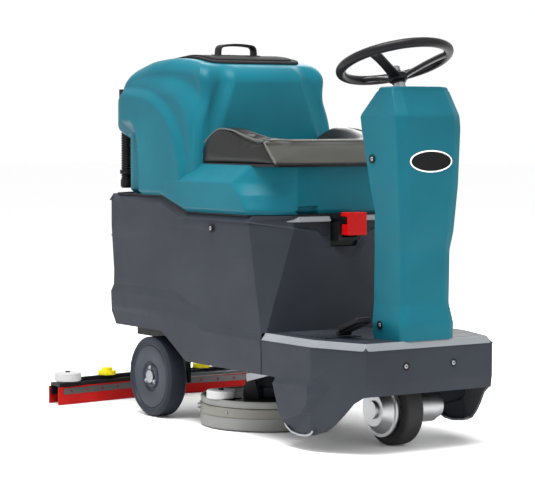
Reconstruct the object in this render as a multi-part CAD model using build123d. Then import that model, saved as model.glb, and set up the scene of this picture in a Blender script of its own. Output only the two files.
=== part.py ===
from build123d import *
import math
import os

# Micro ride-on floor scrubber. Millimetres, +X forward, +Y to the machine's left, +Z up.
# Stations are first laid out from the steered front wheel's axis (X = 0) and the floor (Z = 0);
# place() then moves each piece so that the origin is the middle of the footprint.

# Overall envelope
FRONT_X = 168.0
REAR_X = -1386.0
HALF_WIDTH = 283.0
ORIGIN_SHIFT = -(FRONT_X + REAR_X) / 2

# Clearances
GAP = 0.3
RUNNING_FIT = 0.06

# Wheels
FRONT_WHEEL_R = 105.0
FRONT_WHEEL_W = 58.0
REAR_WHEEL_R = 125.0
REAR_WHEEL_W = 66.0
REAR_AXLE_X = -890.0
REAR_WHEEL_OUT = 284.0
AXLE_R = 12.0

# Grey solution tank
BODY_REAR_X = -1165.0
BODY_FRONT_X = -262.0
BODY_SKIRT_Z = 193.0
BODY_ARCH_Z = 275.0
BODY_FLOOR_Z = 290.0
BODY_WALL = 8.0
FILLER_Y = 150.0
FILLER_Z = 600.0
FILLER_R = 22.0
SEAM_REAR_Z = 692.0
SEAM_FRONT_Z = 648.0
SEAM_STEP_X = (-835.0, -690.0)
SHOULDER_CHAMFER = 22.0
REAR_CORNER_CUT = 34.0

# Battery plug
SOCKET_DEPTH = 40.0
SOCKET_Y = (-50.0, 50.0)
SOCKET_Z = (540.0, 632.0)
PLUG_Y = 33.0

# Front platform and bumper
DECK_TOP_Z = 312.0
DECK_STRIP = 20.0
CORNER_X = -17.0
NOSE_HALF = 226.0
BUMPER_WALL = 9.0
RIB_COUNT = 9
RIB_START_X = -225.0
RIB_PITCH = 24.0
RIB_HEIGHT = 3.0

# Recovery tank and seat
TANK_REAR_X = -1128.0
BACKREST_X = -650.0
BACKREST_HALF = 231.0
TANK_HALF = 275.0
SEAT_BASE_Z = 785.0
INLET_Z = 770.0
INLET_R = 24.0
TANK_PIVOT_X = -1173.0
TANK_PIVOT_Z = 697.0
LID_X = (-1068.0, -700.0)
LID_HALF = 172.0
LID_THICK = 12.0

# Steering
WHEEL_CENTRE = (-2.0, 0.0, 1092.0)
WHEEL_TILT = 19.0
WHEEL_RING_R = 157.0
WHEEL_GRIP_R = 13.0
LOWER_SHAFT_X = 115.0
SHAFT_R = 11.0
SMALL_SPROCKET_R = 22.0
LARGE_SPROCKET_R = 60.0
SPROCKET_Z = (236.0, 244.0)

# Scrub deck
DECK_X = -555.0
DECK_Y = -58.0
DECK_R = 205.0
DECK_RIM_Z = 88.0
DECK_SKIRT_TOP = 42.0
ARM_FRONT = (-300.0, 205.0)
ARM_REAR = (-520.0, 150.0)
DECK_ROLLER = (-548.0, -235.0)

# Squeegee
SQUEEGEE_X = -1350.0
SQUEEGEE_SWEEP = 0.12
SQUEEGEE_HALF = 400.0
SQUEEGEE_PIVOT = (-1060.0, 172.0)
SQUEEGEE_ROLLER_Y = 352.0
SQUEEGEE_ROLLER_X = SQUEEGEE_X + SQUEEGEE_SWEEP * SQUEEGEE_ROLLER_Y + 14
KNOB_Y = 185.0
PORT_Y = 105.0
PORT_R = 20.0
BLADE_TOP = 58.0
STRAP_HOLES = 6
STRAP_FIRST_HOLE = 40.0
STRAP_HOLE_PITCH = 62.0


def place(shape):
    return Pos(ORIGIN_SHIFT, 0, 0) * shape


def block(x, y, z):
    centre = Pos((x[0] + x[1]) / 2, (y[0] + y[1]) / 2, (z[0] + z[1]) / 2)
    return centre * Box(x[1] - x[0], y[1] - y[0], z[1] - z[0])


def side_prism(points, y0, y1):
    # An outline drawn in X and Z, carried along Y.
    face = Face(Wire.make_polygon([(x, y0, z) for x, z in points], close=True))
    return extrude(face, amount=y1 - y0, dir=(0, 1, 0))


def plan_prism(points, z0, z1):
    # An outline drawn in X and Y, carried along Z.
    face = Face(Wire.make_polygon([(x, y, z0) for x, y in points], close=True))
    return extrude(face, amount=z1 - z0, dir=(0, 0, 1))


def end_prism(points, x0, x1):
    # An outline drawn in Y and Z, carried along X.
    face = Face(Wire.make_polygon([(x0, y, z) for y, z in points], close=True))
    return extrude(face, amount=x1 - x0, dir=(1, 0, 0))


def post(x, y, z0, z1, radius):
    return Pos(x, y, (z0 + z1) / 2) * Cylinder(radius, z1 - z0)


def cross_rod(x, z, y0, y1, radius):
    return Pos(x, (y0 + y1) / 2, z) * Rot(90, 0, 0) * Cylinder(radius, y1 - y0)


def long_rod(y, z, x0, x1, radius):
    return Pos((x0 + x1) / 2, y, z) * Rot(0, 90, 0) * Cylinder(radius, x1 - x0)


def both_sides(shape):
    return shape + mirror(shape, about=Plane.XZ)


# ---------------------------------------------------------------- chassis

RAIL_Y = (150.0, 190.0)
RAIL_Z = (235.0, 275.0)
NECK_Y = (88.0, 118.0)
SPINDLE_R = 25.0


def chassis_frame():
    rail = block((-1120, -262), RAIL_Y, RAIL_Z)
    neck = block((-302, 128), NECK_Y, RAIL_Z)
    axle_bracket = block((-925, -855), (150, 162), (100, 236))
    frame = both_sides(rail + neck + axle_bracket)
    for x in ((-1120, -1080), (-302, -262)):
        frame += block(x, (-190, 190), RAIL_Z)
    head_plate = block((-70, 128), (-118, 118), (256, 275))
    frame += head_plate
    frame -= post(0, 0, 200, 300, SPINDLE_R + RUNNING_FIT)
    frame -= post(LOWER_SHAFT_X, 0, 200, 300, SHAFT_R + RUNNING_FIT)
    frame -= cross_rod(REAR_AXLE_X, REAR_WHEEL_R, -300, 300, AXLE_R)
    # The scrub deck's front pivot hangs from the front cross member.
    for y in ((-188, -178), (60, 70)):
        frame += block((-314, -286), y, (190, 236))
    frame += cross_rod(ARM_FRONT[0], ARM_FRONT[1], -188, 70, 8)
    # The squeegee arm's pivot hangs from the rear cross member.
    for y in ((-80, -70), (70, 80)):
        frame += block((-1090, -1046), y, (156, 236))
    frame += cross_rod(SQUEEGEE_PIVOT[0], SQUEEGEE_PIVOT[1], -80, 80, 8)
    return frame


def rear_axle():
    shaft = cross_rod(REAR_AXLE_X, REAR_WHEEL_R, -277, 277, AXLE_R)
    caps = both_sides(cross_rod(REAR_AXLE_X, REAR_WHEEL_R, 276.5, 282, 20))
    return shaft + caps


def body_profile():
    return [
        (-1110, BODY_ARCH_Z), (-1145, 330), (BODY_REAR_X, 520), (BODY_REAR_X, 672),
        (-1146, SEAM_REAR_Z), (SEAM_STEP_X[0], SEAM_REAR_Z), (SEAM_STEP_X[1], SEAM_FRONT_Z),
        (BODY_FRONT_X - 6, SEAM_FRONT_Z), (BODY_FRONT_X, 640), (BODY_FRONT_X, BODY_SKIRT_Z),
        (-672, BODY_SKIRT_Z), (-814, BODY_ARCH_Z),
    ]


def solution_tank():
    outer = side_prism(body_profile(), -HALF_WIDTH, HALF_WIDTH)
    top_edges = outer.edges().filter_by(
        lambda e: abs(abs(e.center().Y) - HALF_WIDTH) < 1 and e.center().Z > 645
    )
    outer = chamfer(top_edges, length=SHOULDER_CHAMFER)
    plan = [
        (BODY_REAR_X - 5, -HALF_WIDTH + REAR_CORNER_CUT), (BODY_REAR_X + REAR_CORNER_CUT, -HALF_WIDTH - 5),
        (0, -HALF_WIDTH - 5), (0, HALF_WIDTH + 5), (BODY_REAR_X + REAR_CORNER_CUT, HALF_WIDTH + 5),
        (BODY_REAR_X - 5, HALF_WIDTH - REAR_CORNER_CUT),
    ]
    outer &= plan_prism(plan, 100, 800)
    # The upper front corners are cut by a leaning facet that dies out at the platform.
    facet = Plane(origin=(-340, -HALF_WIDTH, 640), x_dir=(0.55, 0.83, 0), z_dir=(44298, -27159, 8970))
    cutter = facet * Pos(0, 0, 150) * Box(900, 900, 300)
    outer = outer - cutter - mirror(cutter, about=Plane.XZ)
    # Battery bay, open upwards, and the open space below the tank's floor.
    bay = block((-840, -400), (-235, 235), (BODY_FLOOR_Z + 10, 760))
    bay += block((-405, BODY_FRONT_X - 48), (-120, 120), (BODY_FLOOR_Z + 10, 760))
    water = block((-1130, -856), (-255, 255), (BODY_FLOOR_Z + 10, 660))
    inside = HALF_WIDTH - BODY_WALL
    under = block((-1300, BODY_FRONT_X + 9), (-inside, inside), (100, BODY_FLOOR_Z))
    filler = long_rod(FILLER_Y, FILLER_Z, -1200, -1120, FILLER_R)
    body = outer - bay - water - under - filler
    # Pocket for the battery plug in the front wall.
    return body - block((BODY_FRONT_X - SOCKET_DEPTH, BODY_FRONT_X + 10), SOCKET_Y, SOCKET_Z)


def platform_outline(inset=0.0):
    return [
        (BODY_FRONT_X, -HALF_WIDTH + inset), (CORNER_X, -HALF_WIDTH + inset),
        (FRONT_X - inset, -NOSE_HALF + inset * 0.7), (FRONT_X - inset, NOSE_HALF - inset * 0.7),
        (CORNER_X, HALF_WIDTH - inset), (BODY_FRONT_X, HALF_WIDTH - inset),
    ]


def foot_platform():
    plate = plan_prism(platform_outline(), DECK_TOP_Z - DECK_STRIP, DECK_TOP_Z)
    rim = plate.faces().sort_by(Axis.Z)[-1].edges().filter_by(lambda e: e.center().X > BODY_FRONT_X + 1)
    plate = chamfer(rim, length=5)
    ribs = Part()
    for i in range(RIB_COUNT):
        x = RIB_START_X + i * RIB_PITCH
        for y in (-160, 150):
            ribs += Pos(x, y, DECK_TOP_Z + RIB_HEIGHT / 2) * Box(9, 130, RIB_HEIGHT)
    plate += ribs
    return plate - post(LOWER_SHAFT_X, 0, 200, 400, SHAFT_R + 8)


def guard_line():
    # The bumper's lower edge, seen from the side, drops into a rounded guard ahead of the deck.
    return [
        (-194, BODY_SKIRT_Z), (-153, 91), (-125, 58), (-92, 45), (-52, 42), (-8, 47),
        (30, 60), (62, 84), (92, 114), (125, 146), (158, 166),
    ]


def front_bumper():
    top = DECK_TOP_Z - DECK_STRIP
    shell = plan_prism(platform_outline(2), 30, top)
    shell -= plan_prism(platform_outline(2 + BUMPER_WALL), 20, top + 10)
    under = [(-330, 0), (-330, BODY_SKIRT_Z)] + guard_line() + [(200, 168), (200, 0)]
    return shell - side_prism(under, -400, 400)


def guard_strips():
    line = guard_line()[2:8]
    band = line + [(x, z + 6) for x, z in reversed(line)]
    inner = HALF_WIDTH - 2 - BUMPER_WALL
    strip = side_prism(band, inner - 14, inner - GAP)
    keep = plan_prism(platform_outline(2 + BUMPER_WALL + GAP), 0, 300)
    return both_sides(strip & keep)


# ---------------------------------------------------------------- steering column

# Height, back X, corner X, corner half-width, front X, front half-width.
COLUMN_SECTIONS = [
    (DECK_TOP_Z + GAP, 25, 150, 94, 158, 72),
    (356, 22, 150, 97, 160, 74),
    (412, 16, 142, 87, 150, 62),
    (560, 20, 143, 88, 150, 62),
    (612, 30, 150, 96, 158, 66),
    (668, 36, 155, 99, 164, 62),
    (746, 22, 156, 107, 165, 60),
    (903, -8, 157, 114, 166, 66),
    (938, -13, 157, 115, 168, 64),
    (1010, 55, 148, 102, 158, 72),
]
COLUMN_TOP = 1020.0
COLUMN_WALL = 4.0


def column_section(row, grow, open_back):
    z, back, corner, half, front, half_front = row
    back_x = back - 30 if open_back else back
    points = [
        (back_x, -half - grow), (corner, -half - grow), (front + grow, -half_front),
        (front + grow, half_front), (corner, half + grow), (back_x, half + grow),
    ]
    return Face(Wire.make_polygon([(x, y, z) for x, y in points], close=True))


def column_cover():
    outer = loft([column_section(row, 0, False) for row in COLUMN_SECTIONS], ruled=True)
    cap_bottom = column_section(COLUMN_SECTIONS[-1], 0, False)
    cap_top = column_section((COLUMN_TOP, 66, 142, 84, 150, 66), 0, False)
    outer += loft([cap_bottom, cap_top], ruled=True)
    inner_rows = [(COLUMN_SECTIONS[0][0] - 5,) + COLUMN_SECTIONS[0][1:]] + COLUMN_SECTIONS[:-1]
    inner = loft([column_section(row, -COLUMN_WALL, True) for row in inner_rows], ruled=True)
    upper = [COLUMN_SECTIONS[-2], (1004, 55, 148, 102, 158, 72)]
    inner += loft([column_section(row, -COLUMN_WALL, True) for row in upper], ruled=True)
    return outer - inner


def column_back_panel():
    # Flat dark panel that closes the column towards the driver.
    line = [(row[1], row[0]) for row in COLUMN_SECTIONS[:-1]]
    inner = [(x + 3, z) for x, z in reversed(line)]
    panel = side_prism(line + inner, -HALF_WIDTH, HALF_WIDTH)
    keep = [column_section((z, b - 20, c, h, f, hf), -COLUMN_WALL - GAP, True)
            for z, b, c, h, f, hf in COLUMN_SECTIONS[:-1]]
    return panel & loft(keep, ruled=True)


CONSOLE_LOW = (-13.0, 938.0)
CONSOLE_HIGH = (55.0, 1010.0)
CONSOLE_LENGTH = math.dist(CONSOLE_LOW, CONSOLE_HIGH)
CONSOLE_RISE = CONSOLE_HIGH[1] - CONSOLE_LOW[1]
CONSOLE_ANGLE = math.degrees(math.atan2(CONSOLE_RISE, CONSOLE_HIGH[0] - CONSOLE_LOW[0]))
SWITCH_ALONG = 18.0
KEY_Y = -62.0
BUTTON_R = 7.5
BRUSH_BUTTON_Y = 38.0
SQUEEGEE_BUTTON_Y = 62.0


def on_console(along, y, height, shape):
    # A frame that lies on the console's slope: X runs uphill and Z stands off the surface.
    middle = Pos((CONSOLE_LOW[0] + CONSOLE_HIGH[0]) / 2, y, (CONSOLE_LOW[1] + CONSOLE_HIGH[1]) / 2)
    return middle * Rot(0, -CONSOLE_ANGLE, 0) * Pos(along, 0, height) * shape


def console_panel():
    panel = on_console(-5, 0, 0, Box(CONSOLE_LENGTH - 17, 186, 6))
    panel -= shaft_cylinder(0, 260, 18)
    for y, radius in ((KEY_Y, 9.5), (BRUSH_BUTTON_Y, BUTTON_R), (SQUEEGEE_BUTTON_Y, BUTTON_R)):
        panel -= on_console(SWITCH_ALONG, y, 0, Cylinder(radius + RUNNING_FIT, 20))
    return panel


def display_screen():
    return on_console(-16, 56, 4.5, Box(34, 58, 3))


def key_switch():
    barrel = on_console(SWITCH_ALONG, KEY_Y, 2, Cylinder(9.5, 12))
    bow = on_console(SWITCH_ALONG, KEY_Y, 16, Box(22, 3, 16))
    return barrel + bow


def console_button(y):
    return on_console(SWITCH_ALONG, y, 3, Cylinder(BUTTON_R, 8))


def badge_plate():
    face = Plane(origin=(166.2, 0, 812), x_dir=(0, 1, 0), z_dir=(1, 0, 0))
    return face * extrude(Ellipse(56, 27), amount=1.6)


def shaft_cylinder(start, length, radius):
    # A cylinder on the steering wheel's axis, from start below its centre downwards.
    frame = Pos(*WHEEL_CENTRE) * Rot(0, -WHEEL_TILT, 0)
    return frame * Pos(0, 0, -start - length / 2) * Cylinder(radius, length)


def steering_wheel():
    frame = Pos(*WHEEL_CENTRE) * Rot(0, -WHEEL_TILT, 0)
    wheel = frame * Torus(WHEEL_RING_R, WHEEL_GRIP_R)
    hub = frame * Pos(0, 0, -22) * Cylinder(30, 26)
    for angle in (60, 180, 300):
        reach = WHEEL_RING_R - 4
        spoke = Pos(reach / 2, 0, -11) * Rot(0, -6, 0) * Box(reach, 30, 8)
        hub += frame * Rot(0, 0, angle) * spoke
    return wheel + hub


def steering_shaft():
    return shaft_cylinder(35 + GAP, 300, SHAFT_R) + shaft_cylinder(35 + GAP, 36, 15)


def lower_steering_shaft():
    shaft = post(LOWER_SHAFT_X, 0, SPROCKET_Z[0], 742, SHAFT_R)
    return shaft + post(LOWER_SHAFT_X, 0, SPROCKET_Z[0], SPROCKET_Z[1], SMALL_SPROCKET_R)


def belt_outline(large, small, z0, z1):
    # Round about both sprockets, with straight tangent runs between them.
    angle = math.acos((large - small) / LOWER_SHAFT_X)
    c, s = math.cos(angle), math.sin(angle)
    runs = [
        (large * c, large * s), (LOWER_SHAFT_X + small * c, small * s),
        (LOWER_SHAFT_X + small * c, -small * s), (large * c, -large * s),
    ]
    body = plan_prism(runs, z0, z1)
    return body + post(0, 0, z0, z1, large) + post(LOWER_SHAFT_X, 0, z0, z1, small)


def steering_chain():
    z0, z1 = SPROCKET_Z[0] + 1, SPROCKET_Z[1] - 1
    outer = belt_outline(LARGE_SPROCKET_R + 7, SMALL_SPROCKET_R + 7, z0, z1)
    inner = belt_outline(LARGE_SPROCKET_R + GAP, SMALL_SPROCKET_R + GAP, z0 - 5, z1 + 5)
    return outer - inner


# ---------------------------------------------------------------- front drive

def drive_bracket():
    bracket = post(0, 0, SPROCKET_Z[0], 275, SPINDLE_R)
    bracket += post(0, 0, SPROCKET_Z[0], SPROCKET_Z[1], LARGE_SPROCKET_R)
    bracket += post(0, 0, 214, SPROCKET_Z[0], 72)
    bracket += block((-45, 45), (31, 44), (105, 215))
    bracket += block((-45, 45), (-44, -31), (105, 215))
    bracket += cross_rod(0, FRONT_WHEEL_R, 31, 44, 45) + cross_rod(0, FRONT_WHEEL_R, -44, -31, 45)
    return bracket - cross_rod(0, FRONT_WHEEL_R, -60, 60, 10 + RUNNING_FIT)


def gear_housing():
    cone = Pos(0, -60, FRONT_WHEEL_R) * Rot(90, 0, 0) * Cone(78, 48, 32)
    rim = cross_rod(0, FRONT_WHEEL_R, -52, -44, 80)
    cap = cross_rod(0, FRONT_WHEEL_R, -84, -76, 26)
    return rim + cone + cap - cross_rod(0, FRONT_WHEEL_R, -60, 0, 12)


def drive_motor():
    motor = cross_rod(0, FRONT_WHEEL_R, 44, 62, 58)
    motor += cross_rod(0, FRONT_WHEEL_R, 62, 130, 48)
    motor += cross_rod(0, FRONT_WHEEL_R, 130, 152, 38)
    return motor - cross_rod(0, FRONT_WHEEL_R, 0, 60, 12)


def drive_hub():
    half = FRONT_WHEEL_W / 2
    hub = cross_rod(0, FRONT_WHEEL_R, -half + 2, half - 2, 70)
    return hub + cross_rod(0, FRONT_WHEEL_R, -54, 54, 10)


def tyre(x, radius, bore, y0, y1):
    body = cross_rod(x, radius, y0, y1, radius)
    rims = body.edges().filter_by(GeomType.CIRCLE).sort_by(lambda e: e.radius)[-2:]
    body = fillet(rims, 8)
    return body - cross_rod(x, radius, y0 - 5, y1 + 5, bore)


def drive_tyre():
    half = FRONT_WHEEL_W / 2
    return tyre(0, FRONT_WHEEL_R, 70, -half, half)


def rear_tyre(side):
    inner = REAR_WHEEL_OUT - REAR_WHEEL_W
    y = sorted((side * inner, side * REAR_WHEEL_OUT))
    return tyre(REAR_AXLE_X, REAR_WHEEL_R, 80, y[0], y[1])


def rear_hub(side):
    y = sorted((side * 222, side * 275))
    hub = cross_rod(REAR_AXLE_X, REAR_WHEEL_R, y[0], y[1], 80)
    dish = sorted((side * 268, side * 290))
    hub -= cross_rod(REAR_AXLE_X, REAR_WHEEL_R, dish[0], dish[1], 68)
    boss = sorted((side * 260, side * 275))
    hub += cross_rod(REAR_AXLE_X, REAR_WHEEL_R, boss[0], boss[1], 30)
    return hub - cross_rod(REAR_AXLE_X, REAR_WHEEL_R, -400, 400, AXLE_R + RUNNING_FIT)


# ---------------------------------------------------------------- recovery tank

def crown_line():
    # Backrest, domed top and rear wall, seen from the side.
    return [
        (BACKREST_X, 790), (-655, 1050), (-676, 1092), (-760, 1113), (-840, 1120), (-950, 1110),
        (-1045, 1084), (-1104, 1046), (TANK_REAR_X, 1000),
    ]


def tank_upper():
    profile = crown_line() + [(TANK_REAR_X, SEAM_REAR_Z + 2), (BACKREST_X, SEAM_REAR_Z + 2)]
    upper = side_prism(profile, -TANK_HALF, TANK_HALF)
    plan = [
        (BACKREST_X + 20, -BACKREST_HALF + 4), (-700, -250), (-850, -TANK_HALF), (-1062, -TANK_HALF),
        (TANK_REAR_X, -205), (TANK_REAR_X, 205), (-1062, TANK_HALF), (-850, TANK_HALF),
        (-700, 250), (BACKREST_X + 20, BACKREST_HALF - 4),
    ]
    upper &= plan_prism(plan, 600, 1200)
    # The shoulders fall away towards the sides.
    slope = [(-290, 1030), (-290, 1200), (-120, 1200), (-120, 1128), (-225, 1100)]
    shoulder = end_prism(slope, -1300, -500)
    return upper - shoulder - mirror(shoulder, about=Plane.XZ)


def tank_base():
    seam = [
        (TANK_REAR_X, SEAM_REAR_Z + 2), (SEAM_STEP_X[0], SEAM_REAR_Z + 2),
        (SEAM_STEP_X[1], SEAM_FRONT_Z + 2), (-268, SEAM_FRONT_Z + 2), (-280, 742), (-300, SEAT_BASE_Z),
        (TANK_REAR_X, SEAT_BASE_Z),
    ]
    base = side_prism(seam, -HALF_WIDTH + 4, HALF_WIDTH - 4)
    plan = [
        (TANK_REAR_X, -205), (-1062, -TANK_HALF), (-950, -279), (-357, -279), (-268, -150),
        (-268, 150), (-357, 279), (-950, 279), (-1062, TANK_HALF), (TANK_REAR_X, 205),
    ]
    base &= plan_prism(plan, 600, 900)
    shelf = end_prism([(-300, 736), (-300, 800), (-232, 800)], -1300, -200)
    return base - shelf - mirror(shelf, about=Plane.XZ)


def recovery_tank():
    tank = tank_upper() + tank_base()
    hollow = block((TANK_REAR_X + 20, BACKREST_X - 14), (-215, 215), (SEAM_REAR_Z + 14, 1060))
    mouth = block((-1030, -735), (-140, 140), (1000, 1200))
    motor_bay = block((-620, -310), (-190, 190), (600, SEAT_BASE_Z - 12))
    notch = block((-290, -250), (-150, -75), (600, 674))
    inlet = long_rod(0, INLET_Z, TANK_REAR_X - 32, TANK_REAR_X + 4, INLET_R)
    return tank + inlet - hollow - mouth - motor_bay - notch


def vacuum_motor():
    motor = post(-470, 0, 690, 772, 72)
    return motor + post(-470, 0, 672, 690, 48)


def tank_lid():
    # The lid follows the tank's dome, one gap above it.
    top = [(x, z) for x, z in crown_line() if LID_X[0] - 60 < x < LID_X[1] + 60]
    lower = [(x, z + GAP + 1) for x, z in top]
    upper = [(x, z + LID_THICK) for x, z in reversed(top)]
    lid = side_prism(lower + upper, -LID_HALF, LID_HALF)
    keep = [
        (LID_X[0], -120), (LID_X[0] + 60, -LID_HALF), (LID_X[1] - 50, -LID_HALF), (LID_X[1], -120),
        (LID_X[1], 120), (LID_X[1] - 50, LID_HALF), (LID_X[0] + 60, LID_HALF), (LID_X[0], 120),
    ]
    lid = lid & plan_prism(keep, 900, 1300)
    slope = [(-200, 1000), (-200, 1200), (-110, 1200), (-110, 1135), (-200, 1110)]
    edge = end_prism(slope, -1300, -500)
    return lid - edge - mirror(edge, about=Plane.XZ)


def lid_handle():
    bow = [(-74, 1126), (-74, 1158), (-62, 1170), (62, 1170), (74, 1158), (74, 1126)]
    opening = [(-62, 1100), (-62, 1152), (-56, 1160), (56, 1160), (62, 1152), (62, 1100)]
    outer = end_prism(bow, -842, -808)
    inner = end_prism(opening, -900, -750)
    return outer - inner - tank_lid()


def tank_hinge():
    hinge = Part()
    for y in (-120, 120):
        hinge += cross_rod(TANK_PIVOT_X, TANK_PIVOT_Z, y - 30, y + 30, 6)
        for edge in (-30, 18):
            hinge += block((-1181, BODY_REAR_X), (y + edge, y + edge + 12), (640, 697))
            hinge += cross_rod(TANK_PIVOT_X, TANK_PIVOT_Z, y + edge, y + edge + 12, 8)
    return hinge


def tank_hinge_leaves():
    leaves = Part()
    for y in (-120, 120):
        leaf = cross_rod(TANK_PIVOT_X, TANK_PIVOT_Z, y - 17, y + 17, 9)
        leaf += block((-1172, TANK_REAR_X), (y - 17, y + 17), (701, 706))
        leaf += block((-1134, TANK_REAR_X), (y - 17, y + 17), (701, 740))
        leaves += leaf - cross_rod(TANK_PIVOT_X, TANK_PIVOT_Z, y - 40, y + 40, 6 + RUNNING_FIT)
    return leaves


HOSE_X = -1158.0
HOSE_Y = -206.0
HOSE_R = 17.0


def drain_hose():
    hose = post(HOSE_X, HOSE_Y, 708, 992, HOSE_R)
    spigot = long_rod(HOSE_Y + 10, 722, HOSE_X, TANK_REAR_X, 12)
    return hose + spigot


def drain_cap():
    head = post(HOSE_X, HOSE_Y, 992.3, 1026, 23)
    return head + block((HOSE_X + 4, HOSE_X + 20), (HOSE_Y - 10, HOSE_Y + 10), (992.3, 1032))


def hose_clips():
    clips = Part()
    for z in (760, 930):
        ring = post(HOSE_X, HOSE_Y, z - 7, z + 7, HOSE_R + 4)
        ring -= post(HOSE_X, HOSE_Y, z - 9, z + 9, HOSE_R)
        stay = block((HOSE_X, TANK_REAR_X), (HOSE_Y, HOSE_Y + 30), (z - 7, z + 7))
        stay -= post(HOSE_X, HOSE_Y, z - 9, z + 9, HOSE_R + 1)
        clips += ring + stay
    return clips


def seat_cushion():
    section = [
        (-234, SEAT_BASE_Z + GAP), (-238, 850), (-216, 896), (-188, 900), (-140, 862), (140, 862),
        (188, 900), (216, 896), (238, 850), (234, SEAT_BASE_Z + GAP),
    ]
    seat = end_prism(section, -642, -246)
    side = [
        (-642, SEAT_BASE_Z), (-642, 850), (-600, 890), (-556, 902), (-500, 894), (-372, 866),
        (-255, 862), (-246, 850), (-262, 792), (-262, SEAT_BASE_Z),
    ]
    seat &= side_prism(side, -300, 300)
    plan = [(-642, -238), (-335, -238), (-246, -120), (-246, 120), (-335, 238), (-642, 238)]
    return seat & plan_prism(plan, 700, 1000)


# ---------------------------------------------------------------- battery bay and plug

def battery(side):
    y = sorted((side * 4, side * 180))
    box = block((-800, -450), y, (BODY_FLOOR_Z + 10, 560))
    for x in (-770, -480):
        box += post(x, side * 92, 560, 575, 9)
    return box


def disconnect_socket():
    socket = block((BODY_FRONT_X - SOCKET_DEPTH, BODY_FRONT_X - 22), SOCKET_Y, SOCKET_Z)
    cup = block((BODY_FRONT_X - 22, BODY_FRONT_X + 16), (-40, 40), (560, 620))
    return socket + cup - block((BODY_FRONT_X - 10, BODY_FRONT_X + 20), (-28, 28), (572, 610))


def disconnect_handle():
    stem = block((BODY_FRONT_X - 9, BODY_FRONT_X + 50), (-27, 27), (575, 607))
    face = block((BODY_FRONT_X + 47, BODY_FRONT_X + 57), (-PLUG_Y, PLUG_Y), (575, 640))
    roof = block((BODY_FRONT_X + 17, BODY_FRONT_X + 57), (-PLUG_Y, PLUG_Y), (630, 642))
    return stem + face + roof


# ---------------------------------------------------------------- pedal

PEDAL_PIVOT = (-34.0, 325.0)
PEDAL_Y = -152.0
PEDAL_RISE = 20.0


def on_pedal(along, height, shape):
    frame = Pos(PEDAL_PIVOT[0], PEDAL_Y, PEDAL_PIVOT[1]) * Rot(0, -PEDAL_RISE, 0)
    return frame * Pos(along, 0, height) * shape


def pedal_arm():
    arm = on_pedal(50, 0, Box(92, 30, 5))
    return arm + cross_rod(PEDAL_PIVOT[0], PEDAL_PIVOT[1], PEDAL_Y - 22, PEDAL_Y + 22, 7)


def pedal_pad():
    return on_pedal(56, 7.5, Box(88, 50, 10))


# ---------------------------------------------------------------- scrub deck

def deck_housing():
    top = post(DECK_X, DECK_Y, DECK_RIM_Z - 8, DECK_RIM_Z, DECK_R)
    wall = post(DECK_X, DECK_Y, DECK_SKIRT_TOP, DECK_RIM_Z, DECK_R)
    wall -= post(DECK_X, DECK_Y, 0, DECK_RIM_Z - 4, DECK_R - 9)
    housing = top + wall
    for y in (DECK_Y - 84, DECK_Y + 84):
        foot = DECK_RIM_Z - 2
        lug = [(-560, foot), (-560, 104), (-534, 164), (-506, 164), (-480, 104), (-480, foot)]
        housing += side_prism(lug, y - 5, y + 5)
    housing += block((-575, -520), (-258, -180), (DECK_RIM_Z - 4, DECK_RIM_Z + 3))
    housing += post(DECK_ROLLER[0], DECK_ROLLER[1], DECK_RIM_Z, 122, 8)
    housing -= post(DECK_X, DECK_Y, 0, 200, 12 + RUNNING_FIT)
    return housing - cross_rod(ARM_REAR[0], ARM_REAR[1], -300, 200, 6 + RUNNING_FIT)


def deck_skirt():
    ring = post(DECK_X, DECK_Y, 3, DECK_SKIRT_TOP, DECK_R + 3)
    return ring - post(DECK_X, DECK_Y, 0, 100, DECK_R - 7)


def deck_clamp_band():
    ring = post(DECK_X, DECK_Y, DECK_SKIRT_TOP, 68, DECK_R + 5)
    return ring - post(DECK_X, DECK_Y, 0, 100, DECK_R)


def deck_motor():
    base = Pos(DECK_X, DECK_Y, DECK_RIM_Z) * extrude(RegularPolygon(76, 8), amount=30)
    return base + post(DECK_X, DECK_Y, DECK_RIM_Z + 30, 222, 54)


def scrub_brush():
    disc = post(DECK_X, DECK_Y, 34, 46, 184)
    disc += post(DECK_X, DECK_Y, 2, 34, 182) - post(DECK_X, DECK_Y, 0, 34, 70)
    return disc + post(DECK_X, DECK_Y, 46, DECK_RIM_Z - GAP, 12)


def deck_roller():
    wheel = post(DECK_ROLLER[0], DECK_ROLLER[1], DECK_RIM_Z + 3 + GAP, 116, 44)
    wheel = fillet(wheel.edges().filter_by(GeomType.CIRCLE), 4)
    return wheel - post(DECK_ROLLER[0], DECK_ROLLER[1], 0, 200, 8 + RUNNING_FIT)


def deck_arms():
    arms = cross_rod(ARM_FRONT[0], ARM_FRONT[1], DECK_Y - 108, DECK_Y + 108, 14)
    for side in (-1, 1):
        y = sorted((DECK_Y + side * 90, DECK_Y + side * 100))
        bar = [
            (ARM_FRONT[0] + 3, ARM_FRONT[1] + 11), (ARM_FRONT[0] - 4, ARM_FRONT[1] - 12),
            (ARM_REAR[0] - 4, ARM_REAR[1] - 12), (ARM_REAR[0] - 8, ARM_REAR[1] + 11),
        ]
        arms += side_prism(bar, y[0], y[1])
        pin = sorted((DECK_Y + side * 78, DECK_Y + side * 100))
        arms += cross_rod(ARM_REAR[0], ARM_REAR[1], pin[0], pin[1], 6)
    return arms - cross_rod(ARM_FRONT[0], ARM_FRONT[1], -300, 300, 8 + RUNNING_FIT)


# ---------------------------------------------------------------- squeegee

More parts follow.
